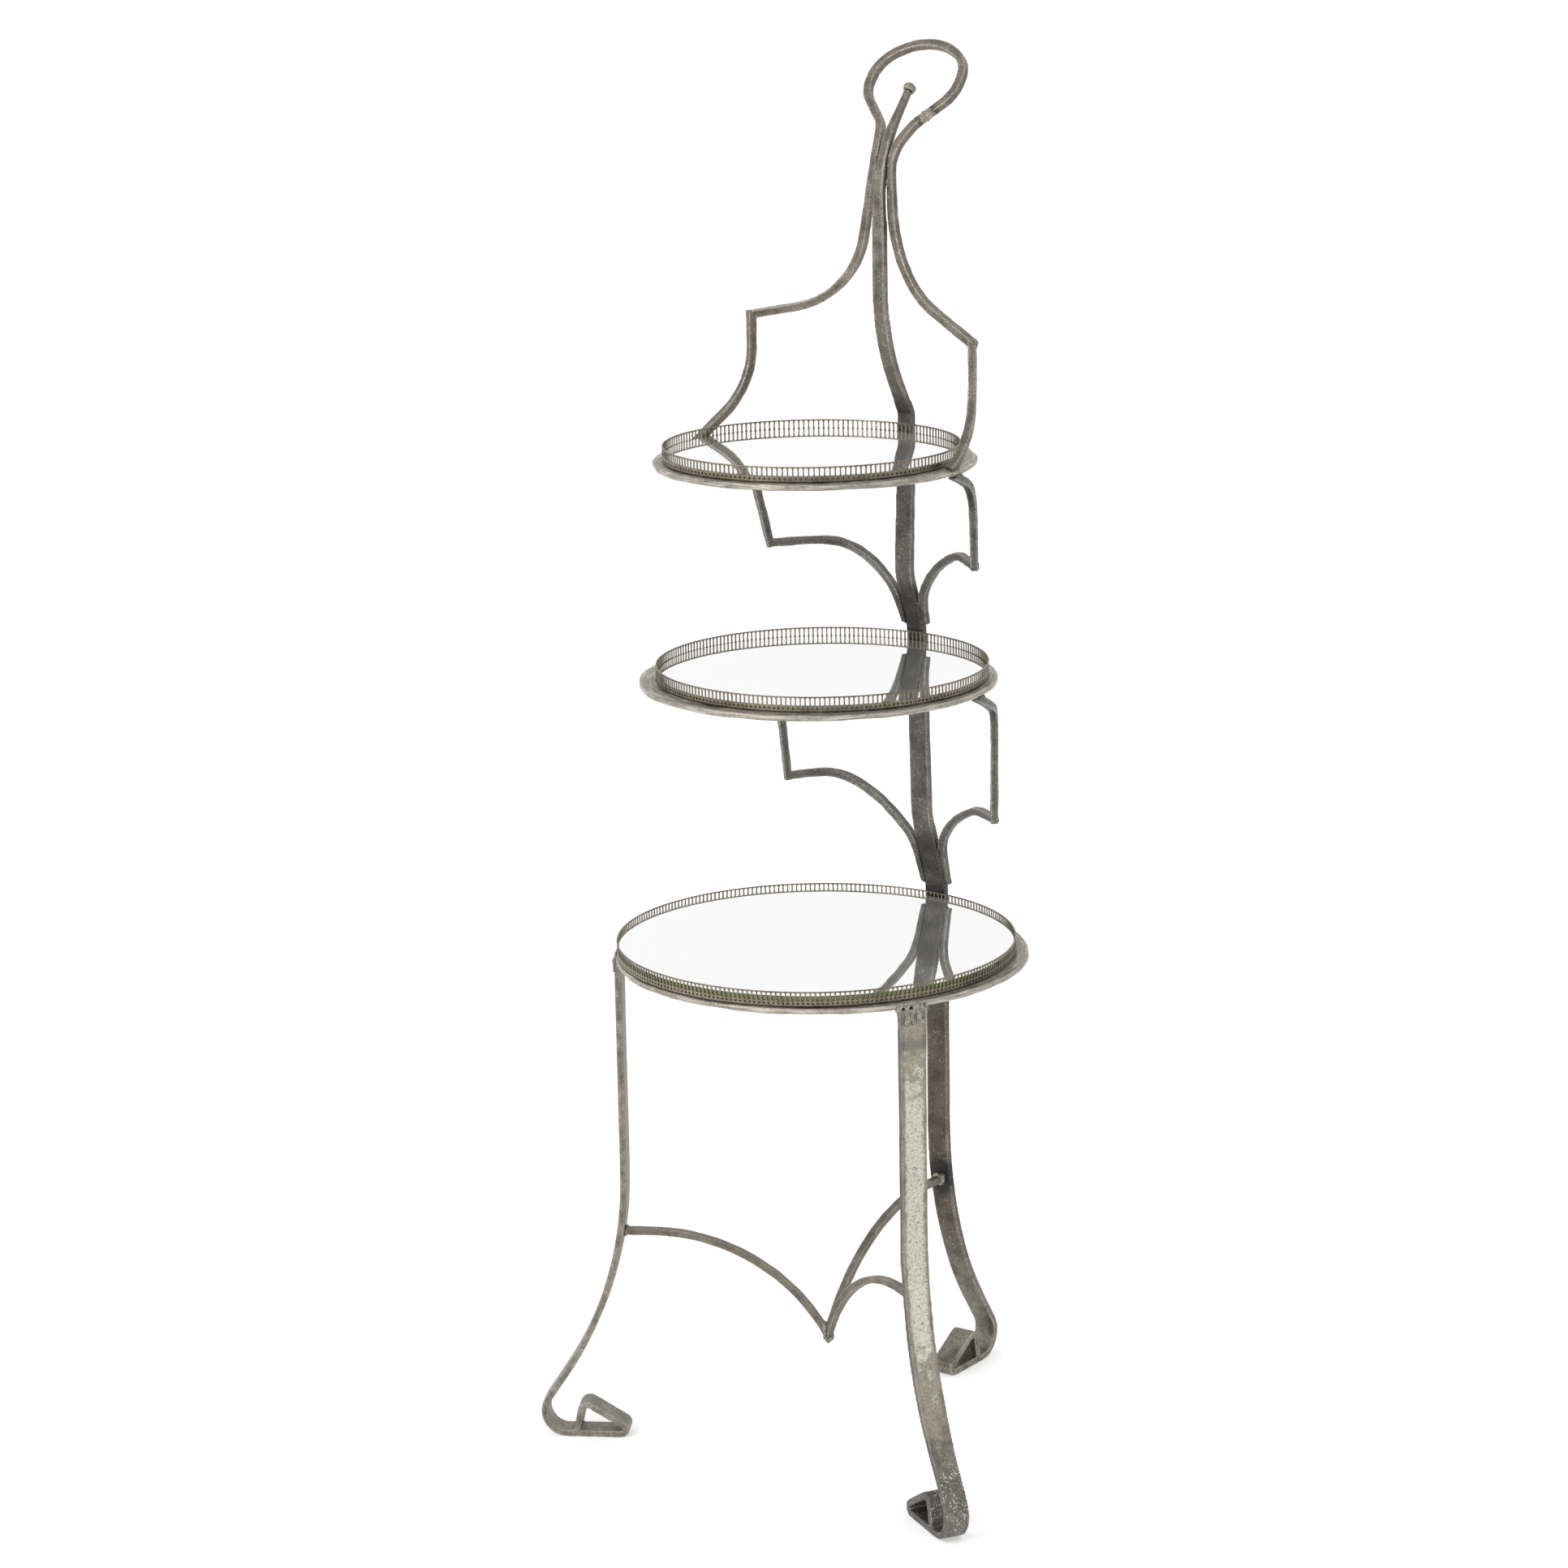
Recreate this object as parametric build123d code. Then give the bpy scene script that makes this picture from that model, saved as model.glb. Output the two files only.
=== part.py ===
from build123d import *
import os
from collections import namedtuple
from math import cos, pi, radians, sin, sqrt, tan

# Three-tier serving stand: a forged iron frame that carries three loose round mirrored trays.
# Millimetres, +Z up. The rear leg and the spine are on the +Y side. The model is drawn about
# the axis of the rings and moved at the end, so that its origin lies on the floor under the
# middle of its bounding box.

# Rings that carry the trays
bottom_ring_top = 444.0
middle_ring_top = 682.0
top_ring_top = 866.0
bottom_ring_radius = 175.0
middle_ring_radius = 150.0
top_ring_radius = 134.0
ring_width = 22.0
ring_thickness = 5.0
ring_bevel = 1.0

# Flat bar of the legs and of the spine
leg_width = 21.0
leg_thickness = 6.0
leg_spacing_angle = 120.0
leg_proud = 2.5

# Leg: straight down, splayed, rolled round to a flat base and folded back up to a peak
leg_bend_height = 142.0
leg_bend_radius = 330.0
leg_splay_angle = 33.6
foot_heel_radius = 20.0
foot_base_length = 100.0
foot_toe_radius = 4.5
foot_fold_angle = 31.5
foot_fold_length = 57.5
foot_peak_radius = 6.0
foot_return_angle = 12.0

# Spine above the bottom ring: hangs almost straight from each ring, then kicks out to the next
spine_bend_radius = 20.0
spine_kick_radius = 45.0
lower_kick_rise = 18.0
lower_waist_rise = 86.0
lower_waist_offset = 152.0
upper_kick_rise = 16.0
upper_waist_rise = 66.0
upper_waist_offset = 128.5
spine_top_lap = 3.0
spine_top_width = 15.2
spine_crease_rise = 20.0
spine_crease_radius = 8.0
neck_offset = 97.0
neck_entry_rise = 86.0
neck_entry_radius = 175.0
neck_exit_rise = 237.0
neck_exit_radius = 100.0
neck_foot_rise = 45.0
neck_foot_width = 12.4
neck_shoulder_rise = 160.0
neck_shoulder_width = 11.6
neck_taper_rise = 210.0
neck_taper_width = 8.4
handle_lean_angle = 40.5
finial_stem_rise = 289.0
finial_stem_width = 6.4
finial_diameter = 11.0

# Square bar of the two handle arms and of the loop
arm_bar = 6.3
arm_thickness = 6.3
arm_limb_width = 4.8
arm_limb_depth = 5.6
arm_lean_rise = 240.0
arm_lean_radius = 80.0
arm_plan_bend = 28.0
arm_plan_radius = 30.0
arm_corner_overrun = 2.8
arm_tail_radius = 30.0
arm_tail_dip = 4.0

# Loop of the handle, drawn in its own leaning plane from the foot of the loop
loop_foot_rise = 249.0
loop_half_width = 44.7
loop_height = 100.6
loop_flare_radius = 25.0
loop_side_radius = 30.0
loop_shoulder_radius = 36.0
loop_crown_radius = 48.0
loop_flare_rise_share = 0.18
loop_joint_share = (0.573, 0.276)
loop_side_share = (1.0, 0.50)
loop_shoulder_share = (1.0, 0.83)
loop_crown_share = (0.306, 1.0)

# Brackets under the top and middle rings
bracket_bar = 6.0
bracket_thickness = 6.0
bracket_limb_width = 4.5
bracket_limb_depth = 5.2
bracket_tail_clearance = 7.0
bracket_tail_bend_radius = 24.0
bracket_plan_radius = 40.0
bracket_plan_drop = 5.0
bracket_plan_share = 0.4
bracket_touch_shares = (0.6, 0.4, 0.15)
bracket_overrun = 2.6

# Stretcher bars between the legs
stretcher_bar = 6.3
stretcher_height = 188.5
stretcher_bend_radius = 170.0
stretcher_slope_angle = 60.0
stretcher_hub_height = 96.0

# Weld beads
weld_leg_size = 7.0
weld_ring_rise = 4.0
weld_stretcher_size = 5.0

# Loose trays: sheet pan, pierced gallery, backing pad and mirror
pan_thickness = 1.0
gallery_height = 13.0
gallery_band_height = 4.0
gallery_rim_height = 0.9
gallery_rim_width = 1.2
gallery_strip_thickness = 0.8
gallery_bar_width = 1.1
top_gallery_inset = 10.5
middle_gallery_inset = 10.7
bottom_gallery_inset = 5.5
top_gallery_pitch = 4.264
middle_gallery_pitch = 3.96
bottom_gallery_pitch = 4.049
pad_thickness = 1.4
mirror_thickness = 3.0
bottom_pad_thickness = 2.0
bottom_mirror_thickness = 6.0
mirror_clearance = 0.5
top_tray_shift = (-2.4, -1.7)
middle_tray_shift = (3.0, 1.7)
bottom_tray_shift = (-4.1, -3.0)

# Length by which cutting shapes pass through what they cut, and how much of a run its bends may take
overrun = 400.0
bend_run_share = 0.98

Arm = namedtuple("Arm", "corner_rise bend_offset bend_rise bend_radius knee_angle knee_rise knee_radius"
                        " landing_angle tail_angle neck_spread neck_rise foot_share flare_share")
Bracket = namedtuple("Bracket", "ring_angle knee_angle knee_share knee_radius corner_angle corner_share"
                                " shoulder_offset shoulder_share shoulder_radius spine_share tail_share")
Tier = namedtuple("Tier", "name gallery_inset gallery_pitch pad mirror shift")

# Each arm's own forging: rises are above the top ring, angles are measured from the spine
left_arm_sizes = (104.0, 30.0, 119.5, 79.0, 59.2, 40.4, 75.0, 86.0, 104.0, 7.0, 236.0, 0.2, 0.32)
right_arm_sizes = (94.5, 14.5, 140.0, 115.0, 60.4, 43.0, 70.0, 86.0, 118.0, 8.2, 211.0, 0.27, 0.39)

# Each bracket's own forging: shares are of the drop from its ring to the ring below
top_left_bracket_sizes = (82.0, 60.5, 0.13, 40.0, 53.0, 0.508, 57.0, 0.495, 60.0, 0.728, 0.821)
top_right_bracket_sizes = (92.0, 64.0, 0.13, 55.0, 57.0, 0.497, 61.0, 0.516, 45.0, 0.75, 0.832)
middle_left_bracket_sizes = (86.0, 49.8, 0.134, 40.0, 46.5, 0.506, 71.0, 0.482, 50.0, 0.735, 0.807)
middle_right_bracket_sizes = (88.0, 59.0, 0.126, 35.0, 52.0, 0.534, 60.0, 0.576, 45.0, 0.744, 0.815)

# What follows from the sizes above
half_leg = leg_thickness / 2
leg_line = bottom_ring_radius + leg_proud - half_leg
finial_radius = finial_diameter / 2
arm_neck_offset = neck_offset + half_leg + arm_bar / 2
rings = {
    "bottom": (bottom_ring_top, bottom_ring_radius),
    "middle": (middle_ring_top, middle_ring_radius),
    "top": (top_ring_top, top_ring_radius),
}
tiers = [
    Tier("bottom", bottom_gallery_inset, bottom_gallery_pitch, bottom_pad_thickness,
         bottom_mirror_thickness, bottom_tray_shift),
    Tier("middle", middle_gallery_inset, middle_gallery_pitch, pad_thickness,
         mirror_thickness, middle_tray_shift),
    Tier("top", top_gallery_inset, top_gallery_pitch, pad_thickness,
         mirror_thickness, top_tray_shift),
]


def fitted_radii(points, radii):
    """Bend radii, each drawn in only where its arc would meet the next one along their run."""
    places = [Vector(*point) for point in points]
    runs = [b - a for a, b in zip(places, places[1:])]
    turns = [radians(a.get_angle(b)) for a, b in zip(runs, runs[1:])]
    cuts = [0, *(radius * tan(turn / 2) for radius, turn in zip(radii, turns)), 0]
    limits = [bend_run_share * run.length for run in runs]
    room = [limit / max(a + b, limit) for limit, a, b in zip(limits, cuts, cuts[1:])]
    return [radius * min(a, b) for radius, a, b in zip(radii, room, room[1:])]


def bar_outline(points, radii, width):
    """Outline of a bar of even width along straight runs joined by arcs."""
    line = FilletPolyline(*points, radius=fitted_radii(points, radii)) if radii else Line(*points)
    return trace(line, line_width=width)


def bar_through(plane, points, radii, width):
    """The bar outline drawn on a plane and run through it both ways."""
    return extrude(plane * bar_outline(points, radii, width), amount=overrun, both=True)


def leg_outline(top_height):
    """Side view of a leg, as distance from the axis and height: the leg down to its toe, and the fold."""
    line = leg_line
    heel = line + (leg_bend_height - half_leg) * tan(radians(leg_splay_angle))
    toe = Vector(heel - foot_base_length, half_leg)
    peak = toe + Vector(foot_fold_length, 0).rotate(Axis.Z, foot_fold_angle)
    end = peak.X + (peak.Y - leg_thickness) * tan(radians(foot_return_angle))
    down = bar_outline([(line, top_height), (line, leg_bend_height), (heel, half_leg), toe,
                        (toe + peak) / 2], [leg_bend_radius, foot_heel_radius, foot_toe_radius], leg_thickness)
    fold = bar_outline([(toe + peak) / 2 - (peak - toe).normalized() * half_leg, peak,
                        (end, leg_thickness - half_leg / 2)], [foot_peak_radius], leg_thickness)
    return down + fold


spine_course = [
    (leg_line, bottom_ring_top - ring_thickness),
    (leg_line, bottom_ring_top + lower_kick_rise),
    (lower_waist_offset, bottom_ring_top + lower_waist_rise),
    (middle_ring_radius - half_leg, middle_ring_top - ring_thickness),
    (middle_ring_radius - half_leg, middle_ring_top + upper_kick_rise),
    (upper_waist_offset, middle_ring_top + upper_waist_rise),
    (top_ring_radius + half_leg - spine_top_lap, top_ring_top - ring_thickness),
    (top_ring_radius + half_leg - spine_top_lap, top_ring_top + spine_crease_rise),
]
spine_widths = [
    (0, leg_width),
    (bottom_ring_top, leg_width),
    (top_ring_top + spine_crease_rise, spine_top_width),
    (top_ring_top + neck_foot_rise, neck_foot_width),
    (top_ring_top + neck_shoulder_rise, neck_shoulder_width),
    (top_ring_top + neck_taper_rise, neck_taper_width),
    (top_ring_top + finial_stem_rise + half_leg, finial_stem_width),
]


def between(places, height):
    """Value at a height on the straight runs between places given as height and value."""
    for (low, start), (high, end) in zip(places, places[1:]):
        if low <= height <= high:
            return start + (end - start) * (height - low) / (high - low)
    return places[-1][1]


def spine_line(height):
    """Distance from the axis to the spine's centreline at a height between the rings."""
    return between([(level, offset) for offset, level in spine_course], height)


def spine_side(height):
    """Distance from the spine's middle to its side edge at a height."""
    return between(spine_widths, height) / 2


def finial_tip():
    """End of the spine below the finial, as distance from the axis and height."""
    rise = finial_stem_rise - neck_exit_rise
    return neck_offset + rise * tan(radians(handle_lean_angle)), top_ring_top + finial_stem_rise


def front_leg():
    """One front leg with its folded foot, drawn towards +X and ending under the bottom ring."""
    return extrude(Plane.XZ * leg_outline(bottom_ring_top - ring_thickness), amount=leg_width / 2, both=True)


def spine_profile():
    """Side view of the spine above the bottom ring."""
    points = spine_course + [
        (neck_offset, top_ring_top + neck_entry_rise),
        (neck_offset, top_ring_top + neck_exit_rise),
        finial_tip(),
    ]
    kicks = [spine_kick_radius] * 2
    radii = [*kicks, spine_bend_radius, *kicks, spine_bend_radius,
             spine_crease_radius, neck_entry_radius, neck_exit_radius]
    return bar_outline(points, radii, leg_thickness)


def spine_bar():
    """Rear leg and spine in one bar: its side view cut by its tapering rear view."""
    outline = leg_outline(bottom_ring_top) + spine_profile()
    side = extrude(Plane.YZ * outline, amount=leg_width, both=True)
    right = [(width / 2, height) for height, width in spine_widths]
    left = [(-width / 2, height) for height, width in reversed(spine_widths)]
    rear = extrude(Plane.XZ * make_face(Polyline(*right, *left, close=True)), amount=overrun, both=True)
    return side & rear


def finial():
    """Ball forged on the end of the spine, flat where it meets the stem."""
    tip, height = finial_tip()
    lean = radians(handle_lean_angle)
    end = Plane(origin=(0, tip, height), x_dir=(1, 0, 0), z_dir=(0, sin(lean), cos(lean)))
    ball = end * Pos(0, 0, finial_radius / 2) * Sphere(finial_radius)
    return split(ball, bisect_by=end, keep=Keep.TOP)


def ring(top, radius, spine):
    """Flat ring with bevelled outer corners, notched round the spine."""
    inner = radius - ring_width
    low = top - ring_thickness
    section = Polyline((inner, low), (radius - ring_bevel, low), (radius, low + ring_bevel),
                       (radius, top - ring_bevel), (radius - ring_bevel, top), (inner, top), close=True)
    return revolve(Plane.XZ * make_face(section), Axis.Z) - spine


def upright_shell(outer_radius, thickness, low, high):
    """Upright tube wall on which the sides of the arms and brackets are bent."""
    wall = Circle(outer_radius) - Circle(outer_radius - thickness)
    return extrude(Pos(0, 0, low) * wall, amount=high - low)


def tangent_plane(angle):
    """Upright plane through the axis, square to the radius at an angle from the spine, right side."""
    a = radians(angle)
    return Plane(origin=(0, 0, 0), x_dir=(cos(a), -sin(a), 0), z_dir=(-sin(a), -cos(a), 0))


def shell_strip(shell, points, radii, width, middle_radius, view_angle):
    """Bar bent on a shell: its points are angles from the spine and heights."""
    flat = [(middle_radius * sin(radians(angle - view_angle)), height) for angle, height in points]
    outline = tangent_plane(view_angle) * bar_outline(flat, radii, width)
    return extrude(outline, amount=-overrun) & shell


def plan_sheet(points, radii, thickness, low, high):
    """Upright sheet that follows a line drawn in plan."""
    outline = bar_outline(points, radii, thickness)
    return extrude(Pos(0, 0, low) * outline, amount=high - low)


def loop_plane():
    """Leaning plane of the loop, with its origin at the foot of the loop."""
    lean = radians(handle_lean_angle)
    offset = arm_neck_offset + (loop_foot_rise - arm_lean_rise) * tan(lean)
    return Plane(origin=(0, offset, top_ring_top + loop_foot_rise), x_dir=(1, 0, 0),
                 z_dir=(0, -cos(lean), sin(lean)))


def loop_point(share, side=1):
    """Point of the loop in its own plane."""
    return side * share[0] * loop_half_width, share[1] * loop_height


def loop_strip(arm, whole):
    """The loop's bar in its plane: the whole loop to the braze, or the short end that meets it."""
    points = [loop_point((arm.foot_share, 0)), loop_point((arm.flare_share, loop_flare_rise_share))]
    radii = [loop_flare_radius]
    if whole:
        points += [loop_point(loop_side_share), loop_point(loop_shoulder_share),
                   loop_point(loop_crown_share), loop_point(loop_crown_share, -1),
                   loop_point(loop_shoulder_share, -1), loop_point(loop_side_share, -1)]
        radii += [loop_side_radius, loop_shoulder_radius, loop_crown_radius,
                  loop_crown_radius, loop_shoulder_radius, loop_side_radius]
    points.append(loop_point(loop_joint_share, -1 if whole else 1))
    outline = bar_outline(points, radii, arm_bar)
    return extrude(loop_plane() * outline, amount=arm_bar / 2, both=True)


def handle_arm(arm, whole, spine):
    """One arm of the handle on the right side: tail on the ring, side, shoulder, neck and loop."""
    line = top_ring_radius - arm_thickness / 2
    corner_height = top_ring_top + arm.corner_rise
    corner = Vector(line * sin(radians(arm.knee_angle)), line * cos(radians(arm.knee_angle)))
    plan_bend = Vector(arm_plan_bend, arm_neck_offset)
    tip = corner + (corner - plan_bend).normalized() * arm_corner_overrun
    neck_height = top_ring_top + arm_lean_rise
    lean_start = neck_height - arm_lean_radius * tan(radians(handle_lean_angle / 2))
    flare_rise = loop_flare_rise_share * loop_height * cos(radians(handle_lean_angle))
    loop_middle = ((arm.foot_share + arm.flare_share) / 2 * loop_half_width,
                   top_ring_top + loop_foot_rise + flare_rise / 2)
    front = bar_through(Plane.XZ, [
        (tip.X + arm_corner_overrun, corner_height),
        (arm.bend_offset, top_ring_top + arm.bend_rise),
        (arm.neck_spread, top_ring_top + arm.neck_rise),
        loop_middle,
    ], [arm.bend_radius, arm_tail_radius], arm_limb_width)
    shoulder = plan_sheet([(0, arm_neck_offset), plan_bend, tip], [arm_plan_radius], arm_limb_depth,
                          top_ring_top, lean_start)
    lean_rise = loop_height / 2
    end = (arm_neck_offset + lean_rise * tan(radians(handle_lean_angle)), neck_height + lean_rise)
    neck = bar_through(Plane.YZ, [
        (arm_neck_offset, lean_start - arm_bar),
        (arm_neck_offset, neck_height),
        end,
    ], [arm_lean_radius], arm_limb_depth)
    upper = (front & shoulder) + (front & neck)
    shell = upright_shell(top_ring_radius, arm_thickness, top_ring_top, neck_height)
    lower = shell_strip(shell, [
        (arm.knee_angle, corner_height + arm_corner_overrun),
        (arm.knee_angle, top_ring_top + arm.knee_rise),
        (arm.landing_angle, top_ring_top),
        (arm.tail_angle, top_ring_top - arm_tail_dip),
    ], [arm.knee_radius, arm_tail_radius], arm_bar, line, arm.knee_angle)
    return upper + lower + loop_strip(arm, whole) - spine


def bracket(sizes, ring_name, lower_name, spine):
    """One bracket on the right side: from under its ring to a corner, across and down the spine."""
    shape = Bracket(*sizes)
    top, radius = rings[ring_name]
    lower_top = rings[lower_name][0]
    drop = top - lower_top
    underside = top - ring_thickness
    corner_height = top - shape.corner_share * drop
    line = radius - bracket_thickness / 2
    corner = Vector(line * sin(radians(shape.corner_angle)), line * cos(radians(shape.corner_angle)))
    shell = upright_shell(radius, bracket_thickness, corner_height - bracket_bar, underside)
    outer = shell_strip(shell, [
        (shape.ring_angle, top),
        (shape.knee_angle, top - shape.knee_share * drop),
        (shape.corner_angle, corner_height - bracket_overrun),
    ], [shape.knee_radius], bracket_bar, line, shape.knee_angle)
    heights = [top - shape.spine_share * drop, top - shape.tail_share * drop,
               lower_top + gallery_height + bracket_tail_clearance]
    touching = [(spine_side(height) + share * bracket_bar, height)
                for share, height in zip(bracket_touch_shares, heights)]
    front = bar_through(Plane.XZ, [
        (corner.X + bracket_overrun, corner_height),
        (shape.shoulder_offset, top - shape.shoulder_share * drop),
        *touching,
    ], [shape.shoulder_radius, bracket_tail_bend_radius, bracket_tail_bend_radius], bracket_limb_width)
    seat = spine_line(heights[0])
    plan_bend = Vector(bracket_plan_share * corner.X, seat - bracket_plan_drop)
    tip = corner + (corner - plan_bend).normalized() * bracket_overrun
    across = plan_sheet([(0, seat), plan_bend, tip], [bracket_plan_radius], bracket_limb_depth,
                        heights[0], top)
    side = extrude(Plane.YZ * spine_profile(), amount=overrun)
    tail = split(side & front, bisect_by=Plane.XY.offset(heights[0]), keep=Keep.BOTTOM)
    return outer + (front & across) + tail - spine


def leg_offset(height):
    """Distance from the axis to the leg's centreline, in the bend where the leg begins to splay."""
    reach = leg_bend_radius * tan(radians(leg_splay_angle) / 2)
    drop = leg_bend_height + reach - height
    return leg_line + leg_bend_radius - sqrt(leg_bend_radius * leg_bend_radius - drop * drop)


def stretcher(leg, angle):
    """One stretcher from a leg's inner face, curving down to the hub, mitred against the others."""
    start = leg_offset(stretcher_height)
    slope = tan(radians(stretcher_slope_angle))
    knee = (stretcher_height - stretcher_hub_height) / slope
    past = (-stretcher_bar, stretcher_hub_height - stretcher_bar * slope)
    bar = extrude(Plane.XZ * bar_outline([(start, stretcher_height), (knee, stretcher_height), past],
                                         [stretcher_bend_radius], stretcher_bar),
                  amount=stretcher_bar / 2, both=True)
    half = radians(leg_spacing_angle / 2)
    edge = (start * cos(half), start * sin(half))
    sector = make_face(Polyline((0, 0), edge, (start * 2, start * 2), (start * 2, -start * 2),
                                (edge[0], -edge[1]), close=True))
    return Rot(0, 0, angle) * (bar & extrude(sector, amount=stretcher_height * 2) - leg)


def weld(profile, width):
    """Weld bead of one triangular profile, centred on the +X leg."""
    return extrude(Plane.XZ * make_face(Polyline(*profile, close=True)), amount=width / 2, both=True)


def leg_welds(angles):
    """Beads under the bottom ring: inside each leg, and outside each front leg."""
    inner = leg_line - half_leg
    under = bottom_ring_top - ring_thickness
    inside = weld([(inner, under), (inner - weld_leg_size, under), (inner, under - weld_leg_size)], leg_width)
    outside = weld([(bottom_ring_radius, under), (bottom_ring_radius + leg_proud, under),
                    (bottom_ring_radius, under + weld_ring_rise)], leg_width)
    beads = [Rot(0, 0, angle) * inside for angle in angles]
    return Compound(beads + [Rot(0, 0, angle) * outside for angle in angles[1:]])


def stretcher_welds(leg, angles):
    """Beads under the outer ends of the stretchers."""
    outer = leg_offset(stretcher_height)
    low = stretcher_height - stretcher_bar / 2
    edge = outer - half_leg - weld_stretcher_size
    bead = weld([(outer, low), (edge, low), (outer, low - outer + edge)], stretcher_bar) - leg
    return Compound([Rot(0, 0, angle) * bead for angle in angles])


def disc(radius, low, thickness):
    """Round plate whose underside is at a height."""
    return extrude(Pos(0, 0, low) * Circle(radius), amount=thickness)


def band(outer_radius, width, low, height):
    """Flat-ended tube wall."""
    return extrude(Pos(0, 0, low) * (Circle(outer_radius) - Circle(outer_radius - width)), amount=height)


def tray(tier):
    """Pieces of one loose tray, in its place on its ring."""
    ring_top, ring_radius = rings[tier.name]
    radius = ring_radius - tier.gallery_inset
    bar_count = round(2 * pi * radius / tier.gallery_pitch)
    strip_radius = radius - (gallery_rim_width - gallery_strip_thickness) / 2
    band_low = ring_top + pan_thickness
    bar_low = band_low + gallery_band_height
    rim_low = ring_top + gallery_height - gallery_rim_height
    inner_radius = radius - gallery_rim_width - mirror_clearance
    slot_bar = Pos(strip_radius - gallery_strip_thickness / 2, 0, (bar_low + rim_low) / 2) * Box(
        gallery_strip_thickness / 2, gallery_bar_width, rim_low - bar_low)
    bars = [Rot(0, 0, 360 * i / bar_count) * slot_bar for i in range(bar_count)]
    pieces = {
        "pan": disc(radius, ring_top, pan_thickness),
        "gallery_band": band(strip_radius, gallery_strip_thickness, band_low, gallery_band_height),
        "gallery_bars": Compound(bars),
        "gallery_rim": band(radius, gallery_rim_width, rim_low, gallery_rim_height),
        "backing_pad": disc(inner_radius, band_low, tier.pad),
        "mirror": disc(inner_radius, band_low + tier.pad, tier.mirror),
    }
    place = Pos(tier.shift[0], tier.shift[1], 0)
    return {f"{tier.name}_tray_{name}": place * piece for name, piece in pieces.items()}


def stand():
    """Every piece of the stand by its node name, about the axis of the rings."""
    spine = spine_bar()
    leg = front_leg()
    right_angle = 90 - leg_spacing_angle
    left_angle = 90 + leg_spacing_angle
    leg_angles = (90, left_angle, right_angle)
    nodes = {
        "spine_bar": spine,
        "finial_ball": finial(),
        "left_leg": Rot(0, 0, left_angle) * leg,
        "right_leg": Rot(0, 0, right_angle) * leg,
    }
    for name, (top, radius) in rings.items():
        nodes[f"{name}_ring"] = ring(top, radius, spine)
    nodes["left_handle_arm"] = mirror(handle_arm(Arm(*left_arm_sizes), True, spine), Plane.YZ)
    nodes["right_handle_arm"] = handle_arm(Arm(*right_arm_sizes), False, spine)
    nodes["top_left_bracket"] = mirror(bracket(top_left_bracket_sizes, "top", "middle", spine), Plane.YZ)
    nodes["top_right_bracket"] = bracket(top_right_bracket_sizes, "top", "middle", spine)
    nodes["middle_left_bracket"] = mirror(
        bracket(middle_left_bracket_sizes, "middle", "bottom", spine), Plane.YZ)
    nodes["middle_right_bracket"] = bracket(middle_right_bracket_sizes, "middle", "bottom", spine)
    for name, angle in zip(("rear", "left", "right"), leg_angles):
        nodes[f"{name}_stretcher"] = stretcher(leg, angle)
    nodes["leg_welds"] = leg_welds(leg_angles)
    nodes["stretcher_welds"] = stretcher_welds(leg, leg_angles)
    for tier in tiers:
        nodes.update(tray(tier))
    return nodes


def main():
    """Moves every piece so that the middle of the whole is over the origin, and writes one file each."""
    os.makedirs("parts", exist_ok=True)
    nodes = stand()
    boxes = [piece.bounding_box() for piece in nodes.values()]
    depth_middle = (max(box.max.Y for box in boxes) + min(box.min.Y for box in boxes)) / 2
    for name, piece in nodes.items():
        export_step(Pos(0, -depth_middle, 0) * piece, f"parts/{name}.step")


main()
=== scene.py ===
from math import cos, radians, sin

import bmesh
import bpy
import numpy as np
from mathutils import Matrix, Vector
from mathutils.geometry import delaunay_2d_cdt


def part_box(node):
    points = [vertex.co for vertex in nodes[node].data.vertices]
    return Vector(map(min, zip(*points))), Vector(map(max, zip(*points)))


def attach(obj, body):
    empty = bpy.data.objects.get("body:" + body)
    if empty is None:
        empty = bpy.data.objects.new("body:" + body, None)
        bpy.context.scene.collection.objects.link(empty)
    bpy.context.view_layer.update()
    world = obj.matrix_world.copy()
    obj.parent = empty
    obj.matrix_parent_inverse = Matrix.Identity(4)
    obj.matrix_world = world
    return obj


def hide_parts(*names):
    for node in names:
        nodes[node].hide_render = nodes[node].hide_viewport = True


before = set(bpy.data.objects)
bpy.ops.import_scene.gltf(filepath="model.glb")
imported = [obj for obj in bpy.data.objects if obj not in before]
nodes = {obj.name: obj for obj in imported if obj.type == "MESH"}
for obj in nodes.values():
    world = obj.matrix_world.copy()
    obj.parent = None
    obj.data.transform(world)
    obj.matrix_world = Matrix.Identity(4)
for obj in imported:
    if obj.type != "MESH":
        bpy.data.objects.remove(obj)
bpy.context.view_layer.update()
scene = bpy.context.scene


# The spine, the legs and the rings
# Flat bar of wrought iron, about 21 by 6 mm, bent hot and welded to three hammered hoops.
# The bare metal is burnished grey-brown, pitted and speckled, and lighter where edges are rubbed.

bar_facet = 0.001
bar_dent = 0.0003
wave_count = 9
wear_gain, wear_start, hollow_start = 9, 0.15, 0.1


def half_width(node):
    """Half of the size of a CAD node from left to right."""
    low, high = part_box(node)
    return (high.x - low.x) / 2


axis_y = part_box("bottom_ring")[0].y + half_width("bottom_ring")
heights = {tier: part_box(f"{tier}_ring")[1].z for tier in ("bottom", "middle", "top")}


def mean_of_neighbours(values, edges):
    """For each vertex, the sum of the values at the far ends of its edges, over the number of its edges."""
    count = len(values)
    ends = np.concatenate([edges, edges[:, ::-1]])
    total = np.stack([np.bincount(ends[:, 0], column[ends[:, 1]], count) for column in values.T], axis=1)
    return total / np.bincount(ends[:, 0], minlength=count)[:, None]


def evened(values, edges, share):
    """Each vertex's values carried by a share of the way to the mean of its neighbours' values."""
    return values + (mean_of_neighbours(values, edges) - values) * share


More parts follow.
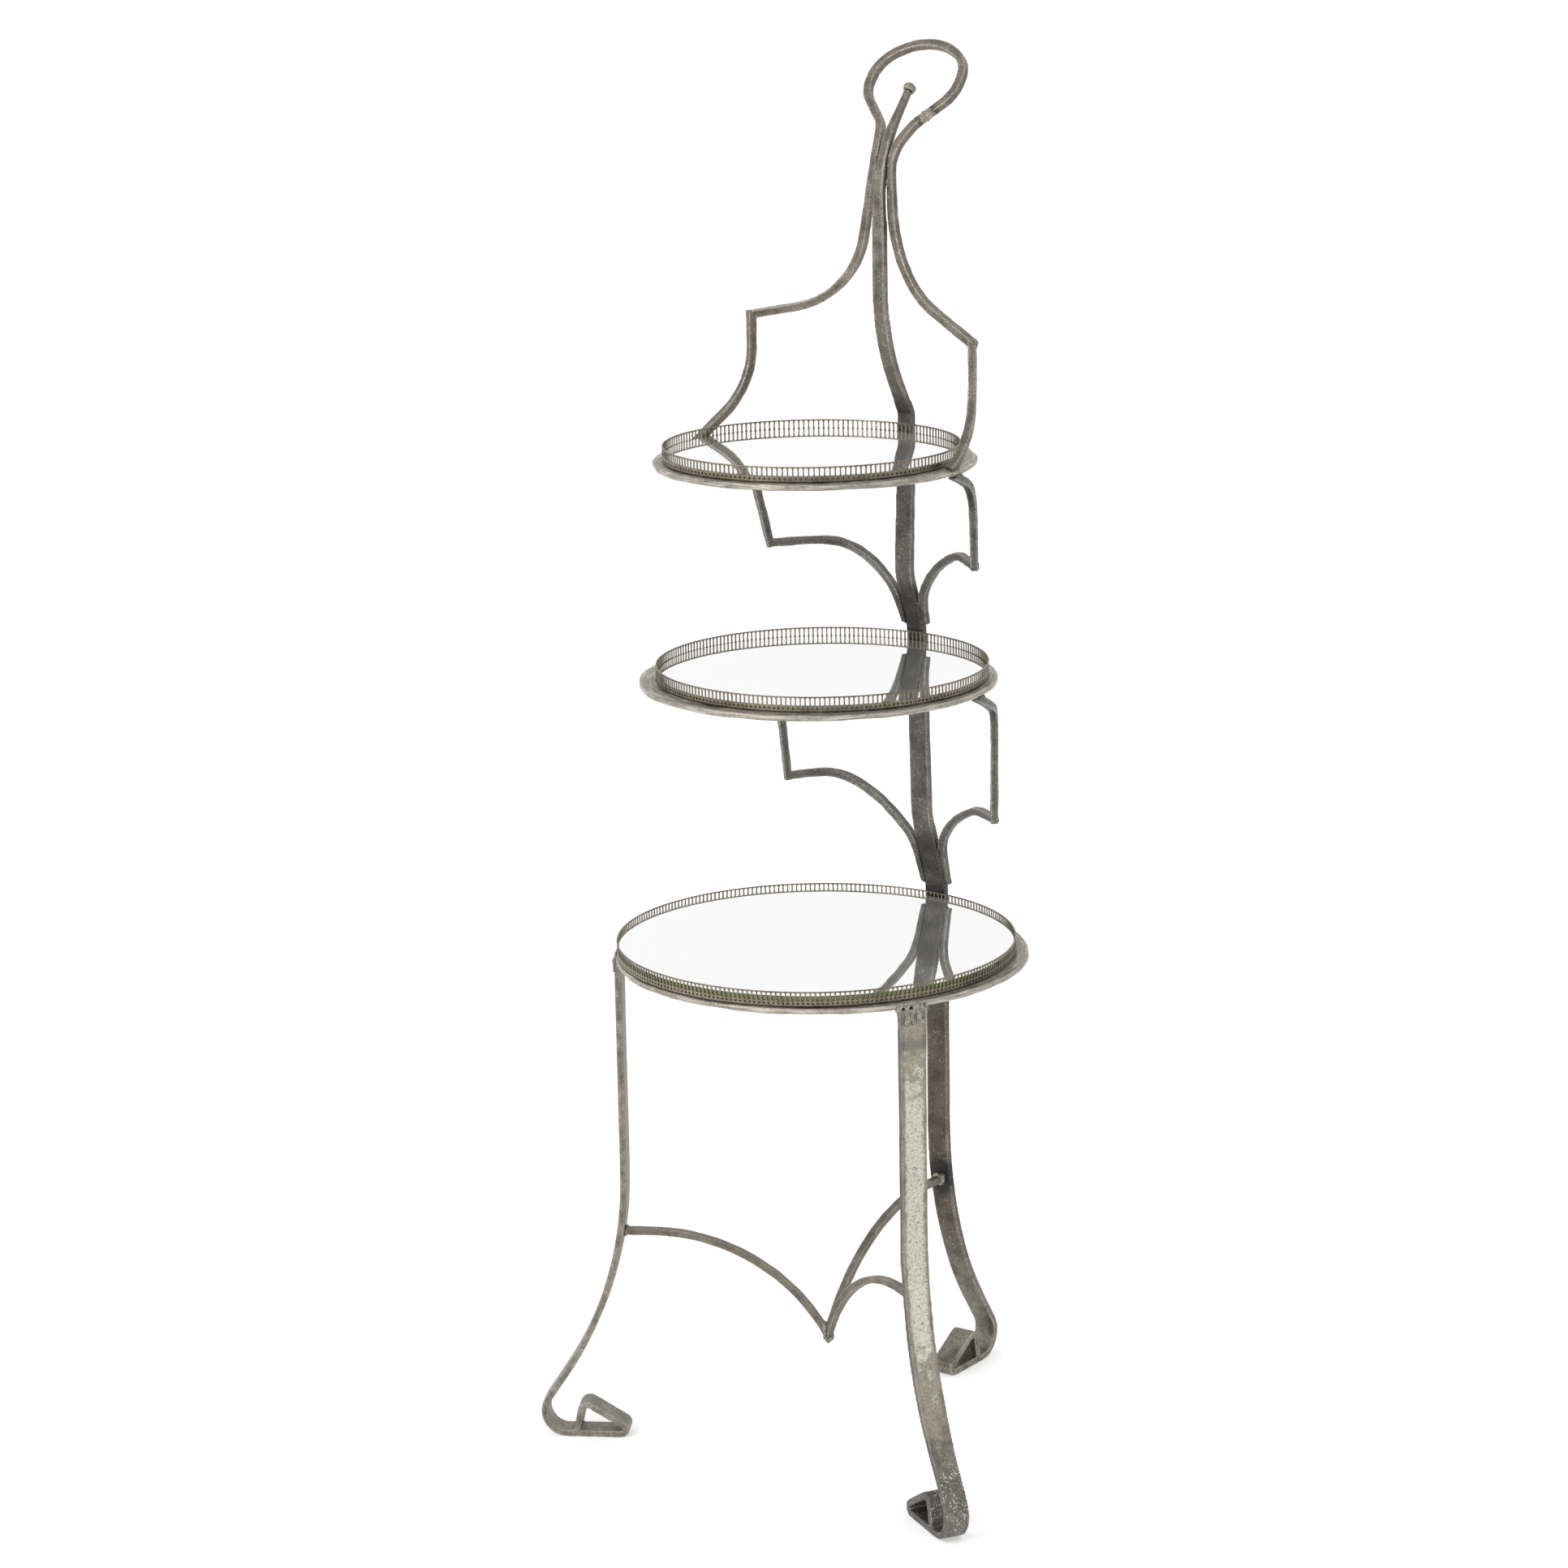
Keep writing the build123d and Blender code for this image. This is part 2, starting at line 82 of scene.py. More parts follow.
def read_mesh(mesh):
    """Places, normals and edges of a mesh as whole arrays."""
    found = []
    for items, name, width, kind in ((mesh.vertices, "co", 3, float), (mesh.vertices, "normal", 3, float),
                                     (mesh.edges, "vertices", 2, int)):
        values = np.empty(len(items) * width, np.float32 if kind is float else np.int32)
        items.foreach_get(name, values)
        found.append(values.reshape(-1, width).astype(kind))
    return found


def set_attribute(mesh, name, values):
    """Stores one number for each vertex under a name that a material can read."""
    layer = mesh.attributes.new(name, "FLOAT", "POINT")
    layer.data.foreach_set("value", np.asarray(values, np.float32))


def smooth_shading(mesh):
    """Marks every face as smooth."""
    mesh.polygons.foreach_set("use_smooth", np.ones(len(mesh.polygons), bool))


def place_vertices(mesh, places, node):
    """Moves the mesh's vertices to new places, kept inside the box of a CAD node."""
    places = np.clip(places, *map(np.array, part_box(node)))
    mesh.vertices.foreach_set("co", places.astype(np.float32).ravel())


def new_mesh(name, places, faces):
    """A mesh from an array of places and a list of faces."""
    mesh = bpy.data.meshes.new(name)
    mesh.from_pydata(places.reshape(-1, 3).tolist(), [], faces)
    return mesh


def new_object(name, data):
    """An object in the scene, with this mesh, lamp or camera."""
    made = bpy.data.objects.new(name, data)
    scene.collection.objects.link(made)
    return made


def new_piece(name, mesh, body="stand"):
    """An object with this mesh, riding on a body."""
    piece = new_object(name, mesh)
    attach(piece, body)
    return piece


def cleaned(mesh, gap, turn_outwards):
    """Joins vertices that lie nearer than the gap, and turns the faces outwards where asked."""
    whole = bmesh.new()
    whole.from_mesh(mesh)
    if gap:
        bmesh.ops.remove_doubles(whole, verts=whole.verts, dist=gap)
    if turn_outwards:
        bmesh.ops.recalc_face_normals(whole, faces=whole.faces)
    whole.to_mesh(mesh)
    whole.free()


def refaceted(piece, facet):
    """Replaces the piece's mesh by a closed skin of even facets laid round it."""
    modifier = piece.modifiers.new("facets", "REMESH")
    modifier.mode = "VOXEL"
    modifier.voxel_size = facet
    seen = piece.evaluated_get(bpy.context.evaluated_depsgraph_get())
    mesh = bpy.data.meshes.new_from_object(seen)
    piece.modifiers.clear()
    piece.data = mesh
    mesh.materials.clear()
    return mesh


def unit(vectors):
    """Vectors over their own lengths."""
    return vectors / np.linalg.norm(vectors, axis=-1, keepdims=True)


def waves(places, length, seed):
    """Sum of sines of random direction, phase and wavelength near a length, over the root of their number,
    kept to -1 to 1.
    """
    draw = np.random.default_rng(seed)
    ways = unit(draw.normal(size=(wave_count, 3)))
    lengths = length * draw.uniform(0.6, 1.7, wave_count)
    phases = draw.uniform(0, 2 * np.pi, wave_count)
    turns = places @ (ways / lengths[:, None]).T * 2 * np.pi + phases
    return np.clip(np.sin(turns).sum(axis=1) / np.sqrt(wave_count), -1, 1)


def round_the_ring(places):
    """Places as distance from the axis, a fifth of the way round in metres, and height."""
    distance = np.hypot(places[:, 0], places[:, 1] - axis_y)
    angle = np.arctan2(places[:, 1] - axis_y, places[:, 0])
    return np.stack([distance, angle * distance / 5, places[:, 2]], axis=1)


def forged(node, facet, dent, dent_length, seed, course=None, spread=None):
    """A CAD bar as the hammer leaves it: even facets, each vertex moved 0.6 of the way to the mean of its
    neighbours and 0.62 of the way back, twice, then moved along its normal by dent times waves / 2, and by
    spread where the bar was hammered broader. Wear is how far a vertex stands out from its neighbours, and
    hollow how far it lies in. It is kept inside the box of the CAD bar.
    """
    mesh = nodes[node].data.copy()
    cleaned(mesh, 0.00001, False)
    piece = new_piece(f"forged_{node}", mesh)
    mesh = refaceted(piece, facet)
    places, normals, edges = read_mesh(mesh)
    for _ in range(2):
        places = evened(evened(places, edges, 0.6), edges, -0.62)
    smooth = evened(evened(places, edges, 0.5), edges, 0.5)
    standing = ((smooth - mean_of_neighbours(smooth, edges)) * normals).sum(axis=1, keepdims=True) / facet
    standing = mean_of_neighbours(standing, edges)
    push = waves(course(places) if course else places, dent_length, seed) / 2
    places += normals * (dent * push)[:, None]
    if spread:
        places += spread(places)
    place_vertices(mesh, places, node)
    set_attribute(mesh, "wear", np.clip(standing[:, 0] * wear_gain - wear_start, 0, 1))
    set_attribute(mesh, "hollow", np.clip(-standing[:, 0] * wear_gain - hollow_start, 0, 1))
    smooth_shading(mesh)
    mesh.update()
    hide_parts(node)
    return piece


class Wiring:
    """Short words for adding and joining the nodes of one tree."""

    def __init__(self, tree):
        self.tree = tree

    def node(self, kind, inputs=(), **settings):
        """A node with its settings, and its sockets set to values or joined to other sockets."""
        made = self.tree.nodes.new(kind)
        for key, value in settings.items():
            setattr(made, key, value)
        self.fill(made, dict(inputs))
        return made

    def fill(self, node, values):
        """Puts values or joins into several sockets of a node."""
        for key, value in values.items():
            self.put(node.inputs[key], value)

    def put(self, socket, value):
        """Joins a socket to another one, or sets its value."""
        if isinstance(value, bpy.types.NodeSocket):
            self.tree.links.new(value, socket)
        else:
            socket.default_value = value

    def noise(self, place, scale, detail, rough):
        """Noise from 0 to 1 over a place."""
        return self.node("ShaderNodeTexNoise", {"Vector": place, "Scale": scale, "Detail": detail,
                                                "Roughness": rough}).outputs["Fac"]

    def spread(self, value, low, high, to_low=0.0, to_high=1.0):
        """Value carried from one range to another, and kept inside it."""
        return self.node("ShaderNodeMapRange", {"Value": value, "From Min": low, "From Max": high,
                                                "To Min": to_low, "To Max": to_high}).outputs["Result"]

    def sum(self, first, second, kind="ADD"):
        """Sum of two numbers, or their difference, power or the like."""
        return self.node("ShaderNodeMath", {0: first, 1: second}, operation=kind).outputs[0]

    def times(self, first, second):
        """Product of two numbers."""
        return self.sum(first, second, "MULTIPLY")

    def swing(self, noise, reach):
        """Noise carried from 0 to 1 to half of the reach on either side of nothing."""
        return self.times(self.sum(noise, -0.5), reach)

    def near(self, value, middle, full, none):
        """One within a distance of the middle value, falling to nothing at a further distance."""
        away = self.sum(self.sum(value, middle, "SUBTRACT"), 0.0, "ABSOLUTE")
        return self.spread(away, full, none, 1.0, 0.0)

    def place(self):
        """The shaded point, in metres."""
        return self.node("ShaderNodeTexCoord").outputs["Object"]

    def parts(self, vector):
        """The three numbers of a vector."""
        return list(self.node("ShaderNodeSeparateXYZ", {"Vector": vector}).outputs)

    def measure(self, first, second, kind="DISTANCE"):
        """Distance of two vectors, or their dot product."""
        return self.node("ShaderNodeVectorMath", {0: first, 1: second}, operation=kind).outputs["Value"]

    def relief(self, height, distance):
        """Normals that follow a height map, whose full height is the distance."""
        return self.node("ShaderNodeBump", {"Height": height, "Distance": distance}).outputs["Normal"]

    def blend(self, share, first, second):
        """Colour between two colours by a share."""
        made = self.node("ShaderNodeMix", data_type="RGBA", blend_type="MIX")
        for socket, value in zip((made.inputs[0], made.inputs[6], made.inputs[7]), (share, first, second)):
            self.put(socket, value)
        return made.outputs[2]


def new_group(name, inputs):
    """A shader node group that takes named colours and numbers, and gives a colour, roughness and height."""
    group = bpy.data.node_groups.new(name, "ShaderNodeTree")
    for label, value in inputs.items():
        kind = "NodeSocketColor" if isinstance(value, tuple) else "NodeSocketFloat"
        group.interface.new_socket(label, in_out="INPUT", socket_type=kind).default_value = value
    for label, kind in (("Color", "Color"), ("Roughness", "Float"), ("Height", "Float")):
        group.interface.new_socket(label, in_out="OUTPUT", socket_type=f"NodeSocket{kind}")
    given, result = group.nodes.new("NodeGroupInput").outputs, group.nodes.new("NodeGroupOutput")
    return group, Wiring(group), given, result


def iron_surface():
    """Bare forged iron: mottling between two colours, light specks, dark pits, wear and hollows."""
    group, w, given, result = new_group("iron_surface", {
        "Dark": (0.09, 0.08, 0.065, 1), "Light": (0.26, 0.23, 0.185, 1), "Speck": (0.6, 0.57, 0.49, 1),
        "Mottle Scale": 55.0, "Specks": 0.5, "Pits": 0.6})
    place = w.place()
    wear = w.node("ShaderNodeAttribute", attribute_name="wear").outputs["Fac"]
    hollow = w.node("ShaderNodeAttribute", attribute_name="hollow").outputs["Fac"]
    mottle = w.noise(place, given["Mottle Scale"], 6.0, 0.62)
    grain = w.noise(place, 520.0, 4.0, 0.6)
    drawn = w.node("ShaderNodeMapping", {"Vector": place, "Scale": (1.0, 1.0, 0.12)}).outputs[0]
    streak = w.noise(drawn, 480.0, 3.0, 0.6)
    speck = w.noise(place, 760.0, 2.0, 0.5)
    pit = w.node("ShaderNodeTexVoronoi", {"Vector": place, "Scale": 420.0}).outputs["Distance"]
    tone = w.sum(w.spread(mottle, 0.36, 0.66), w.times(w.spread(grain, 0.35, 0.68), 0.45))
    tone = w.sum(tone, w.times(w.spread(streak, 0.35, 0.7), 0.25))
    tone = w.times(tone, 0.6)
    color = w.blend(tone, given["Dark"], given["Light"])
    speckle = w.times(w.spread(speck, 0.6, 0.7), w.spread(mottle, 0.42, 0.6))
    color = w.blend(w.times(speckle, given["Specks"]), color, given["Speck"])
    pitting = w.times(w.spread(pit, 0.3, 0.12), w.spread(grain, 0.45, 0.6))
    pitting = w.times(pitting, given["Pits"])
    color = w.blend(pitting, color, (0.035, 0.03, 0.025, 1))
    color = w.blend(w.times(wear, w.spread(grain, 0.35, 0.6, 0.1, 0.5)), color, given["Speck"])
    color = w.blend(w.times(hollow, 0.7), color, (0.03, 0.025, 0.02, 1))
    rough = w.sum(w.spread(mottle, 0.3, 0.7, 0.36, 0.55), w.times(pitting, 0.2))
    height = w.sum(w.times(mottle, 0.6), w.times(grain, 0.5))
    height = w.sum(height, w.times(pitting, -0.5))
    w.fill(result, {"Color": color, "Roughness": w.sum(rough, w.times(wear, -0.08)), "Height": height})
    return group


iron_group = iron_surface()


def new_material(name):
    """A new material, the words that fill its tree, and its shader."""
    made = bpy.data.materials.new(name)
    made.use_nodes = True
    shader = made.node_tree.nodes["Principled BSDF"]
    return made, Wiring(made.node_tree), shader


def metal(name, group, values, metallic, relief):
    """A metal that takes its colour, roughness and relief from a group, which is given these values."""
    made, w, shader = new_material(name)
    surface = w.node("ShaderNodeGroup", values, node_tree=group)
    w.fill(shader, {"Base Color": surface.outputs["Color"], "Roughness": surface.outputs["Roughness"],
                    "Normal": w.relief(surface.outputs["Height"], relief), "Metallic": metallic})
    return made, w, shader, surface


def iron(name, dark, light, specks=0.5, pits=0.6, mottle=55.0):
    """Forged iron of two tones, in the metal's plain colours."""
    return metal(name, iron_group, {"Dark": (*dark, 1), "Light": (*light, 1), "Specks": specks, "Pits": pits,
                                    "Mottle Scale": mottle}, 0.75, 0.00035)


def spine_iron():
    """Brown above the top tray and slate between the trays, with painted shade in dark bands at the bracket
    ends and just above each ring, a burnt patch round the rear stretcher's weld, and painted light on the
    paler foot.
    """
    made, w, shader, surface = iron("spine_iron", (0.05, 0.047, 0.042), (0.2, 0.185, 0.16), specks=0.8)
    place = w.place()
    height = w.parts(place)[2]
    top = heights["top"]
    upper = w.spread(height, top + 0.01, top + 0.06)
    lower = w.spread(height, heights["bottom"] + 0.02, heights["bottom"] - 0.04)
    dark = w.blend(upper, (0.045, 0.043, 0.039, 1), (0.066, 0.057, 0.045, 1))
    light = w.blend(upper, (0.2, 0.187, 0.162, 1), (0.25, 0.223, 0.185, 1))
    light = w.blend(lower, light, (0.17, 0.142, 0.108, 1))
    # Painted light: the foot below 0.13 m is made paler to stand in for light where the bar stands in shade.
    light = w.blend(w.spread(height, 0.13, 0.05), light, (0.36, 0.33, 0.27, 1))
    w.fill(surface, {"Dark": w.blend(lower, dark, (0.05, 0.04, 0.03, 1)), "Light": light})
    ragged = w.sum(height, w.times(w.noise(place, 60.0, 4.0, 0.6), 0.02))
    # Painted shade: dark bands at the ends of the brackets and just above each ring, where the bar lies in
    # shade.
    painted_shade_and_burn = w.near(ragged, top + 0.03, 0.008, 0.022)
    for middle, reach in ((top - 0.148, 0.012), (heights["middle"] - 0.19, 0.012),
                          (heights["middle"] + 0.012, 0.008), (heights["bottom"] + 0.012, 0.008)):
        painted_shade_and_burn = w.sum(painted_shade_and_burn, w.near(ragged, middle + 0.01, reach, reach * 2), "MAXIMUM")
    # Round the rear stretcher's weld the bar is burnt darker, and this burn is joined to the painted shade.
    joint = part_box("rear_stretcher")[1]
    away = w.measure(place, (0, joint.y, joint.z))
    burnt = w.sum(away, w.times(w.noise(place, 90.0, 4.0, 0.6), 0.03))
    painted_shade_and_burn = w.sum(w.times(painted_shade_and_burn, 0.55), w.spread(burnt, 0.04, 0.026, 0.0, 0.9), "MAXIMUM")
    color = w.blend(painted_shade_and_burn, surface.outputs["Color"], (0.025, 0.024, 0.025, 1))
    w.put(shader.inputs["Base Color"], color)
    return made


def hoop_iron():
    """Pale hammered iron with long streaks that follow the ring, by its distance, angle and height."""
    made, w, shader, surface = iron("hoop_iron", (0.15, 0.138, 0.112), (0.46, 0.425, 0.35),
                                    specks=0.6, mottle=90.0)
    place = w.place()
    across, depth, height = w.parts(place)
    depth = w.sum(depth, axis_y, "SUBTRACT")
    angle = w.sum(depth, across, "ARCTAN2")
    distance = w.sum(w.sum(w.times(depth, depth), w.times(across, across)), 0.5, "POWER")
    round_ring = w.node("ShaderNodeCombineXYZ", {"X": distance, "Y": w.times(angle, 0.012), "Z": height})
    round_ring = round_ring.outputs[0]
    streak = w.noise(round_ring, 420.0, 5.0, 0.65)
    dark_streak = w.noise(round_ring, 230.0, 4.0, 0.6)
    color = w.blend(w.spread(streak, 0.48, 0.62, 0.0, 0.85), surface.outputs["Color"], (0.62, 0.58, 0.5, 1))
    color = w.blend(w.spread(dark_streak, 0.38, 0.32, 0.0, 0.75), color, (0.05, 0.045, 0.035, 1))
    w.fill(shader, {"Base Color": color,
                    "Normal": w.relief(w.sum(streak, surface.outputs["Height"]), 0.0006)})
    return made


leg_turn = radians(60)
leg_tangents, leg_outwards = {}, {}
for leg, side in (("left_leg", -1), ("right_leg", 1)):
    leg_tangents[leg] = (side * cos(leg_turn), sin(leg_turn), 0.0)
    leg_outwards[leg] = (side * sin(leg_turn), -cos(leg_turn), 0.0)


def front_leg_iron():
    """Tan iron with two dark bands under its weld, then old cream primer with crackled borders on the outer
    face, its paleness partly painted light, bare brown iron below it, and flecks of the primer on the dark
    foot. The other faces are darkened with painted shade.
    """
    made, w, shader, surface = iron("front_leg_iron", (0.1, 0.088, 0.068), (0.34, 0.31, 0.25), specks=0.5)
    place = w.place()
    height = w.parts(place)[2]
    along = w.measure(place, leg_tangents["right_leg"], "DOT_PRODUCT")
    across = w.sum(w.sum(along, sin(leg_turn) * axis_y, "SUBTRACT"), 0.0, "ABSOLUTE")
    normal = w.node("ShaderNodeNewGeometry").outputs["Normal"]
    facing = w.measure(normal, leg_outwards["right_leg"], "DOT_PRODUCT")
    coarse = w.noise(place, 120.0, 6.0, 0.65)
    fine = w.noise(place, 620.0, 5.0, 0.65)
    rough_edge = w.swing(coarse, 0.008)
    rough_end = w.swing(coarse, 0.16)
    inside = w.spread(w.sum(across, rough_edge), 0.0092, 0.0066)
    high = w.sum(height, rough_end)
    ends = w.times(w.spread(high, 0.392, 0.372), w.spread(high, 0.128, 0.158))
    outer = w.spread(facing, 0.7, 0.9)
    # Partly real old primer and partly painted light: the outer face, turned towards the front, is made pale
    # cream.
    primer_and_painted_light = w.times(w.times(inside, ends), outer)
    worn = w.spread(w.sum(w.times(fine, 0.6), w.times(coarse, 0.4)), 0.385, 0.43)
    primer_and_painted_light = w.times(primer_and_painted_light, w.sum(w.times(worn, 0.85), 0.15))
    tan = w.times(w.times(w.spread(height, 0.44, 0.43), w.spread(high, 0.07, 0.1)), outer)
    tan = w.times(tan, w.spread(fine, 0.38, 0.6, 0.25, 0.95))
    tan = w.times(tan, w.spread(w.sum(across, rough_edge), 0.0075, 0.0095, 1.0, 0.3))
    color = w.blend(tan, surface.outputs["Color"], (0.4, 0.365, 0.28, 1))
    cream = w.blend(w.spread(fine, 0.36, 0.6), (0.5, 0.475, 0.39, 1), (0.84, 0.82, 0.7, 1))
    color = w.blend(primer_and_painted_light, color, cream)
    ragged = w.sum(height, w.swing(coarse, 0.02))
    under_weld = w.times(w.near(ragged, 0.431, 0.001, 0.004), 0.6)
    color = w.blend(under_weld, color, (0.085, 0.08, 0.075, 1))
    heat_band = w.times(w.near(ragged, 0.4085, 0.003, 0.009), 0.55)
    color = w.blend(heat_band, color, (0.15, 0.13, 0.125, 1))
    fleck = w.times(w.spread(fine, 0.54, 0.58), w.spread(coarse, 0.44, 0.56))
    fleck = w.times(fleck, w.spread(height, 0.075, 0.05))
    color = w.blend(w.times(w.spread(height, 0.075, 0.055), 0.6), color, (0.11, 0.102, 0.09, 1))
    color = w.blend(w.times(fleck, 0.95), color, (0.68, 0.66, 0.6, 1))
    # Painted shade: the faces turned away from the outer side are darkened.
    shade = w.spread(facing, 0.55, 0.35)
    color = w.blend(w.times(shade, 0.5), color, (0.06, 0.06, 0.062, 1))
    height_map = w.sum(surface.outputs["Height"], w.sum(w.times(primer_and_painted_light, 0.7), fine))
    w.fill(shader, {"Base Color": color, "Normal": w.relief(height_map, 0.0005),
                    "Metallic": w.spread(primer_and_painted_light, 0.0, 1.0, 0.7, 0.05),
                    "Roughness": w.spread(primer_and_painted_light, 0.0, 1.0, 0.42, 0.62)})
    return made


brown_iron = iron("brown_iron", (0.085, 0.073, 0.057), (0.3, 0.265, 0.21), specks=0.45)[0]
slate_iron = iron("slate_iron", (0.05, 0.047, 0.043), (0.185, 0.173, 0.152), specks=0.5)[0]
leg_iron = iron("leg_iron", (0.1, 0.088, 0.068), (0.37, 0.34, 0.275), specks=0.9, mottle=80.0)[0]
hoop_finish = hoop_iron()


def spine_spread(places):
    """How far to move each place of the spine sideways: x times a share less one, by the height above the
    top ring. The bar is broader from the shoulder to the neck, and drawn in to a waist below the ball.
    """
    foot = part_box("finial_ball")[0].z - heights["top"]
    share = np.interp(places[:, 2] - heights["top"], [0.09, 0.16, 0.24, foot - 0.03, foot - 0.008, foot],
                      [1.0, 1.12, 1.24, 1.12, 0.82, 0.76])
    moved = np.zeros_like(places)
    moved[:, 0] = places[:, 0] * (share - 1)
    return moved


def leg_spread(leg, broad):
    """A leg made broader by a share: even below, and flared at the weld, along the tangent of the ring."""
    tangent = np.array(leg_tangents[leg])
    levels = [0.05, 0.1, 0.36, 0.43, 0.442]
    shares = [1, broad, broad, broad + 0.05, broad + 0.25]

    def spread(places):
        """The move of each place along the tangent."""
        across = (places - (0, axis_y, 0)) @ tangent
        share = np.interp(places[:, 2], levels, shares)
        return (across * (share - 1))[:, None] * tangent
    return spread


spine = forged("spine_bar", bar_facet, bar_dent, 0.05, seed=3, spread=spine_spread)
spine.data.materials.append(spine_iron())
forged("finial_ball", 0.0007, 0.0008, 0.006, seed=4).data.materials.append(brown_iron)
for seed, node in enumerate(("bottom_ring", "middle_ring", "top_ring")):
    hoop = forged(node, bar_facet, 0.0009, 0.008, seed=11 + seed, course=round_the_ring)
    hoop.data.materials.append(hoop_finish)
for seed, leg, broad, finish in ((21, "left_leg", 1.03, leg_iron), (22, "right_leg", 1.1, front_leg_iron())):
    bar = forged(leg, bar_facet, bar_dent, 0.04, seed, spread=leg_spread(leg, broad))
    bar.data.materials.append(finish)


# The handle, the brackets and the stretchers
# Square rod of 6 to 7 mm, bent into curves by hand and left with rubbed arrises.
# Each end is laid against the bar or hoop that it meets, and welded.

rod_facet = 0.0006
braze_middle = (0.0256, 0.1315 + axis_y, 1.1363)


def loop_iron():
    """Brown iron with the pale patch of the braze on the loop, and burnt flux at the ends of it."""
    made, w, shader, surface = iron("loop_iron", (0.07, 0.059, 0.046), (0.26, 0.225, 0.18), specks=0.8)
    place = w.place()
    away = w.measure(place, braze_middle)
    ragged = w.sum(away, w.swing(w.noise(place, 260.0, 4.0, 0.6), 0.008))
    burnt = w.near(ragged, 0.0095, 0.0008, 0.0025)
    color = w.blend(w.times(burnt, 0.6), surface.outputs["Color"], (0.045, 0.04, 0.034, 1))
    speckled = w.spread(w.noise(place, 700.0, 3.0, 0.6), 0.4, 0.62)
    tan = w.blend(speckled, (0.26, 0.2, 0.135, 1), (0.66, 0.56, 0.45, 1))
    color = w.blend(w.times(w.spread(ragged, 0.009, 0.006), 0.8), color, tan)
    w.put(shader.inputs["Base Color"], color)
    return made


loop_finish = loop_iron()

rod_bar = 0.007
rod_bevel = 0.0006
rod_step = 0.0008
arc_points = 24
neck_depth = 0.10315
handle_lean = radians(40.5)
lean_rise = 0.24
loop_foot = 0.249
loop_width, loop_length = 0.0447, 0.1006
loop_points = ((1.0, 0.5), (1.0, 0.83), (0.306, 1.0), (-0.306, 1.0), (-1.0, 0.83), (-1.0, 0.5))
loop_radii = (0.03, 0.036, 0.048, 0.048, 0.036, 0.03)
loop_meeting = (0.573, 0.276)
tail_dip = 0.004
arm_easing = 30
rod_dents = ((0.00016, 0.016), (0.00008, 0.005))
# Angles round the hoop from its back in degrees, and rises above it and bending radii in metres
arm_courses = {
    "left": dict(corner_rise=0.104, bend=(0.03, 0.1195, 0.079), knee=(59.2, 0.0404, 0.075), landing=86.0,
                 tail=104.0, neck=0.0066, flare=0.32, side=-1),
    "right": dict(corner_rise=0.0945, bend=(0.0122, 0.136, 0.115), knee=(60.4, 0.043, 0.07), landing=86.0,
                  tail=118.0, neck=0.0068, flare=0.39, side=1),
}


def evenly(line):
    """The line's points set out again at even steps along its length."""
    along = np.concatenate([[0], np.cumsum(np.linalg.norm(np.diff(line, axis=0), axis=1))])
    stations = np.linspace(0, along[-1], int(along[-1] / rod_step))
    return np.stack([np.interp(stations, along, column) for column in line.T], axis=1)


def rounded(points, radii):
    """Straight runs joined by arcs: at each corner the arc touches both runs at radius times tan(half the
    turn), kept to 0.55 of the shorter run, and its points turn about its centre by equal shares of the angle.
    """
    points = np.array(points, float)
    runs = np.linalg.norm(np.diff(points, axis=0), axis=1)
    line = [points[:1]]
    for i, radius in enumerate(radii, start=1):
        back = (points[i - 1] - points[i]) / runs[i - 1]
        onward = (points[i + 1] - points[i]) / runs[i]
        half_turn = (np.pi - np.arccos(np.clip(back @ onward, -1, 1))) / 2
        reach = min(radius * np.tan(half_turn), 0.55 * runs[i - 1], 0.55 * runs[i])
        radius = reach / np.tan(half_turn)
        centre = points[i] + unit(back + onward) * radius / np.cos(half_turn)
        start, end = points[i] + back * reach - centre, points[i] + onward * reach - centre
        share = np.linspace(0, 1, arc_points)[:, None]
        line.append(centre + (start * np.sin((1 - share) * 2 * half_turn)
                              + end * np.sin(share * 2 * half_turn)) / np.sin(2 * half_turn))
    line.append(points[-1:])
    return evenly(np.concatenate(line))


def ring_quads(rows, around, closed=False):
    """Quads from each ring of points to the next one, and from the last to the first if closed."""
    here = np.arange(rows if closed else rows - 1)[:, None] * around
    after = (here + around) % (rows * around)
    step = np.arange(around)
    onward = (step + 1) % around
    return np.stack([here + step, here + onward, after + onward, after + step], axis=2).reshape(-1, 4)


def rod_skin(line, facing, bar):
    """A square profile with bevelled arrises carried along a line: at each station the profile's point (a, b)
    lies at a times the facing made square to the line, plus b times the line's direction crossed with it.
    """
    near_edge = bar / 2 - rod_bevel
    row = np.array([-near_edge, -near_edge + rod_bevel, 0, near_edge - rod_bevel, near_edge])
    full = np.full(len(row), bar / 2)
    profile = np.concatenate([np.stack([full, row], 1), np.stack([-row, full], 1),
                              np.stack([-full, -row], 1), np.stack([row, -full], 1)])
    ahead = unit(np.gradient(line, axis=0))
    out = unit(facing - ahead * (facing * ahead).sum(axis=1)[:, None])
    side = np.cross(ahead, out)
    places = line[:, None] + profile[None, :, :1] * out[:, None] + profile[None, :, 1:] * side[:, None]
    first = np.arange(len(profile))
    caps = np.stack([first[::-1], first + len(profile) * (len(line) - 1)])
    wear = np.tile(np.tile([1.0, 0.25, 0.0, 0.25, 1.0], 4), len(line))
    return places.reshape(-1, 3), ring_quads(len(line), len(profile)), caps, wear


def round_the_hoop(points, radii, outside):
    """A line bent flat, as distances along the hoop's edge and heights, and laid round it: (r sin a, r cos a,
    z). It comes with the outward way at each point.
    """
    flat = rounded(points, radii)
    angles = flat[:, 0] / outside
    out = np.stack([np.sin(angles), np.cos(angles), np.zeros(len(angles))], axis=1)
    return out * outside + np.stack([0 * angles, 0 * angles + axis_y, flat[:, 1]], axis=1), out


